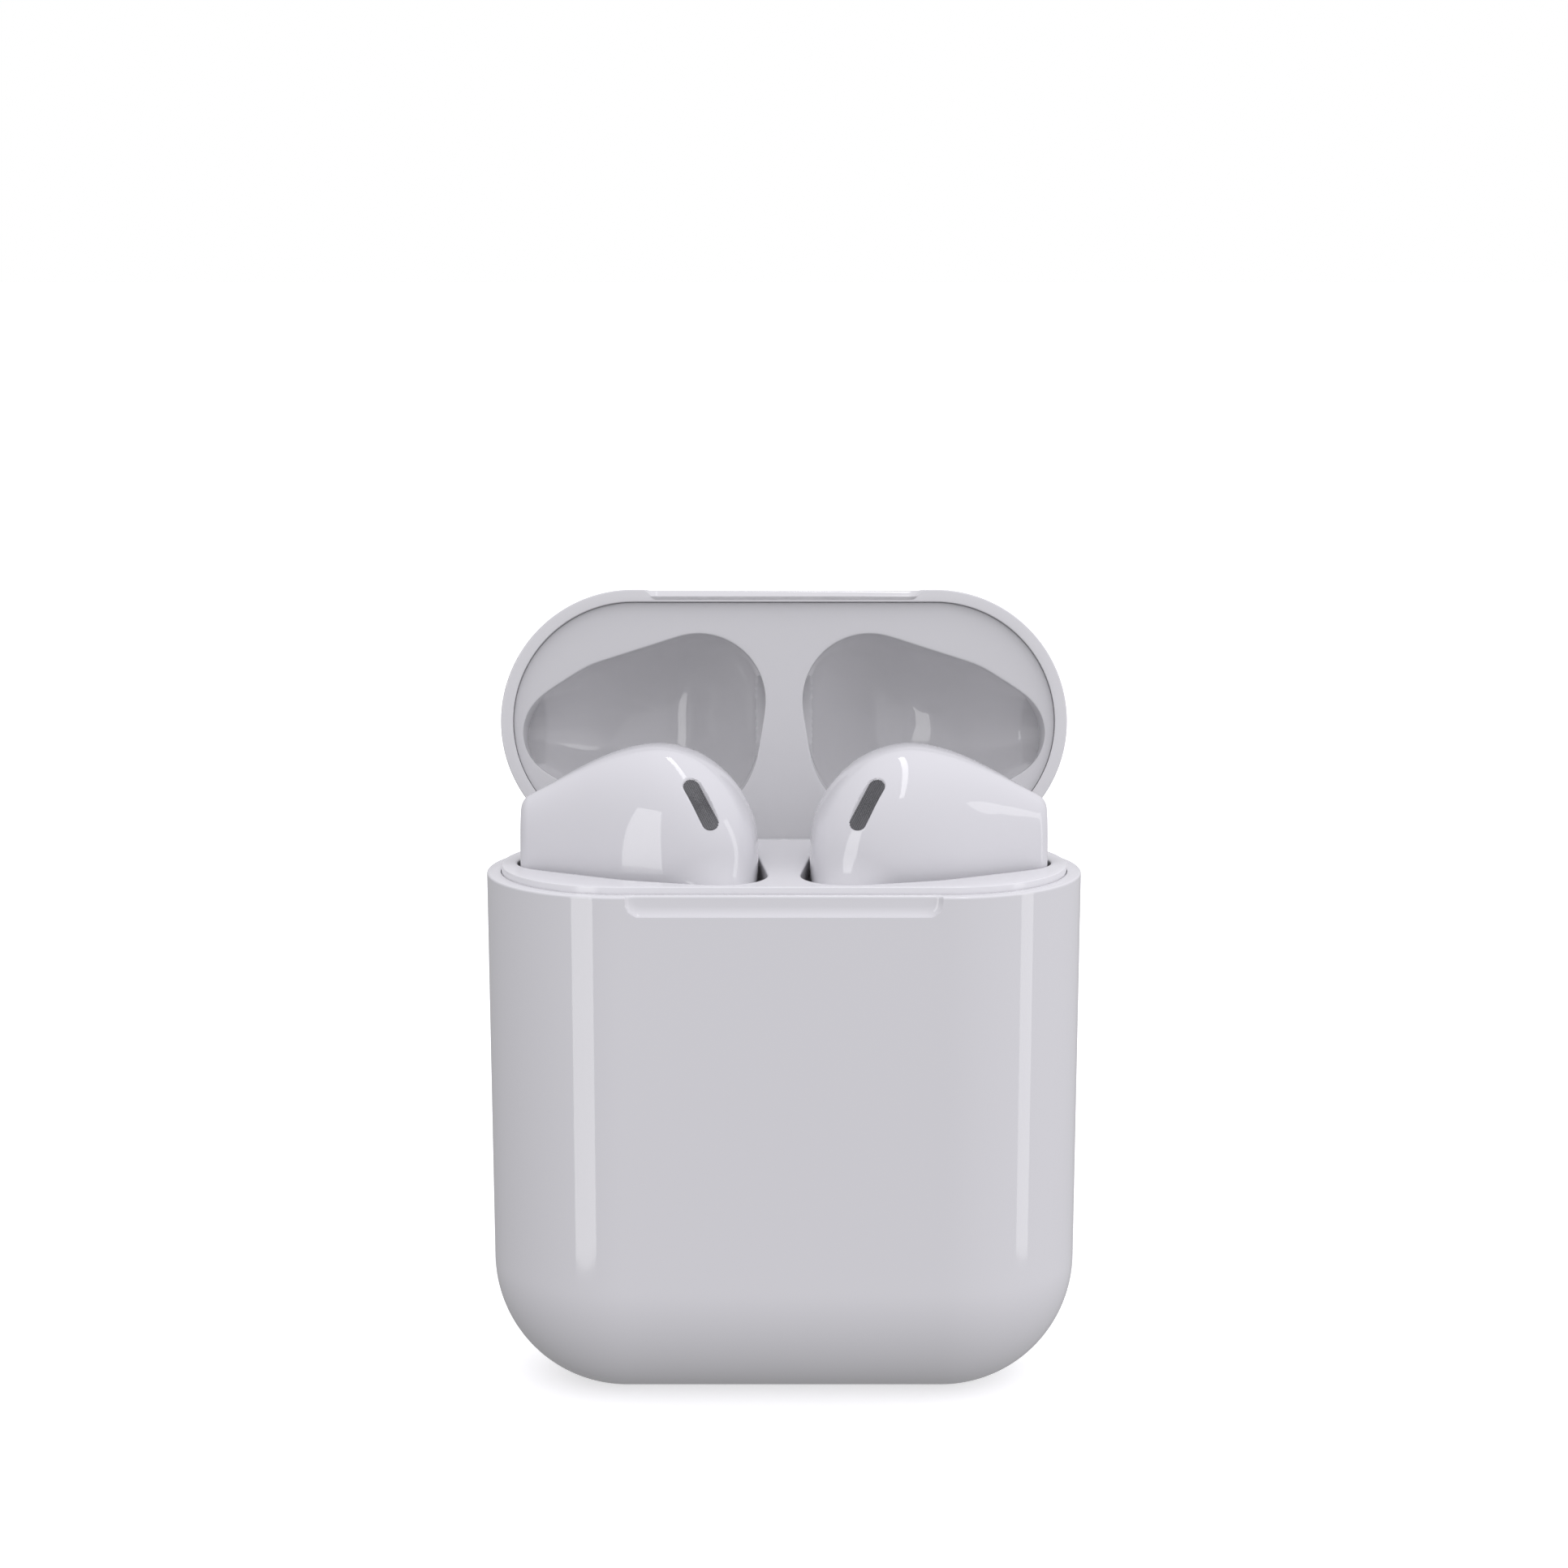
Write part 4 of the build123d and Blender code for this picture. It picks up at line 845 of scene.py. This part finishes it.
# ================================================================ pieces of the earbuds
skin = bud_grid()
tip_rows = [(0, 0.62), (0.72, 0.62), (0.76, 0.12)] + arc(0.86, 0.1, 0.1, 180, 270, 4)
tip_rows += [(1.6, 0.0)] + arc(STEM_RADIUS - 0.35, 0.35, 0.35, -90, 0, 8)
tip_rows += arc(STEM_RADIUS - 0.05, CAP_HEIGHT - 0.05, 0.05, 0, 90, 4) + [(0, CAP_HEIGHT)]
tip = turned(tip_rows, (STEM_X, STEM_Y, RIM_Z + STEM_BOTTOM), "Z")
vent_origin = VENT_POINT + [0, 0, RIM_Z] - VENT_NORMAL * (VENT_RECESS - 0.02)
vent = woven_grid(vent_origin, VENT_ALONG, VENT_ACROSS, VENT_HALF_LENGTH + 0.06, VENT_HALF_WIDTH + 0.06,
                  True, 36, 300)
nozzle_mid = np.array([NOZZLE_X + 0.3, 0.7, RIM_Z + 0.825])
nozzle = woven_grid(nozzle_mid, np.array([0, 1.0, 0]), np.array([0, 0, -1.0]),
                    NOZZLE_OPEN[0] + 0.05, NOZZLE_OPEN[1] + 0.05, False, 70, 300)
mic_mid = np.array([STEM_X, STEM_Y, RIM_Z + STEM_BOTTOM + 0.3])
mic = woven_grid(mic_mid, np.array([1.0, 0, 0]), np.array([0, -1.0, 0]), 0.8, 0.8, False, 24, 120)


def sensor_grid():
    """Round window set in the rear cap: a disc laid on the skin along Y, with a turned-down edge."""
    x0, z0, radius = SENSOR
    angle = np.linspace(0, 2 * pi, 49)
    rows = []
    face = [(share, 0.03) for share in (0, 0.3, 0.6, 0.9)]
    for share, lift in face + [(0.97, 0.015), (1, -0.3), (0, -0.3)]:
        x = x0 + share * radius * np.cos(angle)
        z = z0 + share * radius * np.sin(angle)
        centre = np.stack([x, np.zeros(49), z], 1)[None]
        way = np.broadcast_to(np.array([0, 1.0, 0]), centre.shape)
        y = first_crossing(centre, way, 12.0)[0]
        rows.append(np.stack([x, y + lift, z + RIM_Z], 1))
    return np.stack(rows)


sensor = sensor_grid()
for side, way in (("left", 1.0), ("right", -1.0)):
    turn = np.array([way, 1.0, 1.0])
    body = f"earbud_{side}"
    cut_piece(f"bud_front_{side}", skin * turn, True, body, BUD, [f"bud_shell_{side}"])
    cut_piece(f"bud_back_{side}", skin * turn, False, body, BUD, [f"rear_cap_{side}"])
    make_piece(f"stem_end_{side}", [tip * turn], body, CHROME, [f"stem_cap_{side}"])
    for place, grid in (("vent", vent), ("nozzle", nozzle), ("mic", mic)):
        make_piece(f"{place}_weave_{side}", [grid * turn], body, WEAVE,
                   [f"{place}_mesh_{side}"], 80)
    make_piece(f"wear_window_{side}", [sensor * turn], body, WINDOW,
               [f"sensor_window_{side}"])


# ================================================================ studio
def studio_floor():
    """Plain pale floor, which the object's reflections don't pick up."""
    mesh = bpy.data.meshes.new("floor")
    mesh.from_pydata([(-4, -4, 0), (4, -4, 0), (4, 4, 0), (-4, 4, 0)], [], [(0, 1, 2, 3)])
    floor = bpy.data.objects.new("floor", mesh)
    bpy.context.scene.collection.objects.link(floor)
    paper = bpy.data.materials.new("paper floor")
    paper.use_nodes = True
    surface = paper.node_tree.nodes["Principled BSDF"]
    surface.inputs["Base Color"].default_value = (0.9, 0.9, 0.9, 1)
    surface.inputs["Roughness"].default_value = 0.9
    surface.inputs["Specular IOR Level"].default_value = 0.0
    surface.inputs["Emission Color"].default_value = (1, 1, 1, 1)
    surface.inputs["Emission Strength"].default_value = 0.45
    mesh.materials.append(paper)
    floor.visible_glossy = False
    floor.visible_diffuse = False


def studio_world():
    """Soft light from all round, brightest and faintly violet from above and a little to the front
    and right, dim from below. The camera sees plain white."""
    world = bpy.data.worlds.new("studio")
    bpy.context.scene.world = world
    world.use_nodes = True
    tree = world.node_tree
    tree.nodes.clear()
    way = add_node(tree, "TexCoord").outputs["Generated"]
    lean = add_node(tree, "VectorMath", {0: way, 1: (0.31, -0.197, 0.93)}, operation="DOT_PRODUCT")
    share = add_node(tree, "MapRange", {"Value": lean.outputs["Value"], 1: -1.0, 2: 1.0})
    blend = add_node(tree, "Mix", {0: share.outputs[0], 6: (0.143, 0.144, 0.14, 1),
                                   7: (1.212, 1.20, 1.262, 1)}, data_type="RGBA")
    soft = add_node(tree, "Background", {"Color": blend.outputs[2], "Strength": 1.0})
    plain = add_node(tree, "Background", {"Color": (1, 1, 1, 1), "Strength": 1.0})
    seen = add_node(tree, "LightPath").outputs["Is Camera Ray"]
    mix = add_node(tree, "MixShader", {0: seen, 1: soft.outputs[0], 2: plain.outputs[0]})
    result = add_node(tree, "OutputWorld")
    tree.links.new(mix.outputs[0], result.inputs[0])


def area_light(name, place, target, width, height, glow):
    """Rectangular light as bright whatever its size, seen only in reflections."""
    lamp = bpy.data.lights.new(name, "AREA")
    lamp.shape = "RECTANGLE"
    lamp.size, lamp.size_y = width, height
    lamp.energy = glow * pi * width * height
    holder = bpy.data.objects.new(name, lamp)
    holder.location = place
    holder.rotation_euler = (Vector(target) - Vector(place)).to_track_quat("-Z", "Y").to_euler()
    holder.visible_camera = False
    holder.visible_diffuse = False
    bpy.context.scene.collection.objects.link(holder)


def strip_light(name, azimuth, spread, low, high, glow, distance=0.6):
    """Upright strip at some degrees round from the front, as wide as its spread in degrees."""
    turn = radians(azimuth)
    x, y = distance * sin(turn), -distance * cos(turn)
    middle = (low + high) / 2
    area_light(name, (x, y, middle), (0, 0, middle), distance * 2 * np.tan(radians(spread / 2)),
               high - low, glow)


def studio_camera():
    """Camera in front of the case and a little above it."""
    lens = bpy.data.cameras.new("camera")
    lens.lens, lens.sensor_width = 74.534, 36.0
    lens.clip_start, lens.clip_end = 0.01, 20.0
    camera = bpy.data.objects.new("camera", lens)
    camera.location = (0, -0.237813, 0.08736)
    camera.rotation_euler = (radians(90 - 9.959), 0, 0)
    bpy.context.scene.collection.objects.link(camera)
    bpy.context.scene.camera = camera


studio_floor()
studio_world()
studio_camera()
strip_light("strip_left", -34.5, 18, -0.19, 0.45, 2.9)
strip_light("strip_right", 72, 12, -0.185, 0.45, 2.0)
area_light("strip_over", (0.1, 0.02, 0.7), (0, 0, 0.04), 1.0, 0.05, 4.0)
bpy.context.scene.view_settings.view_transform = "Standard"
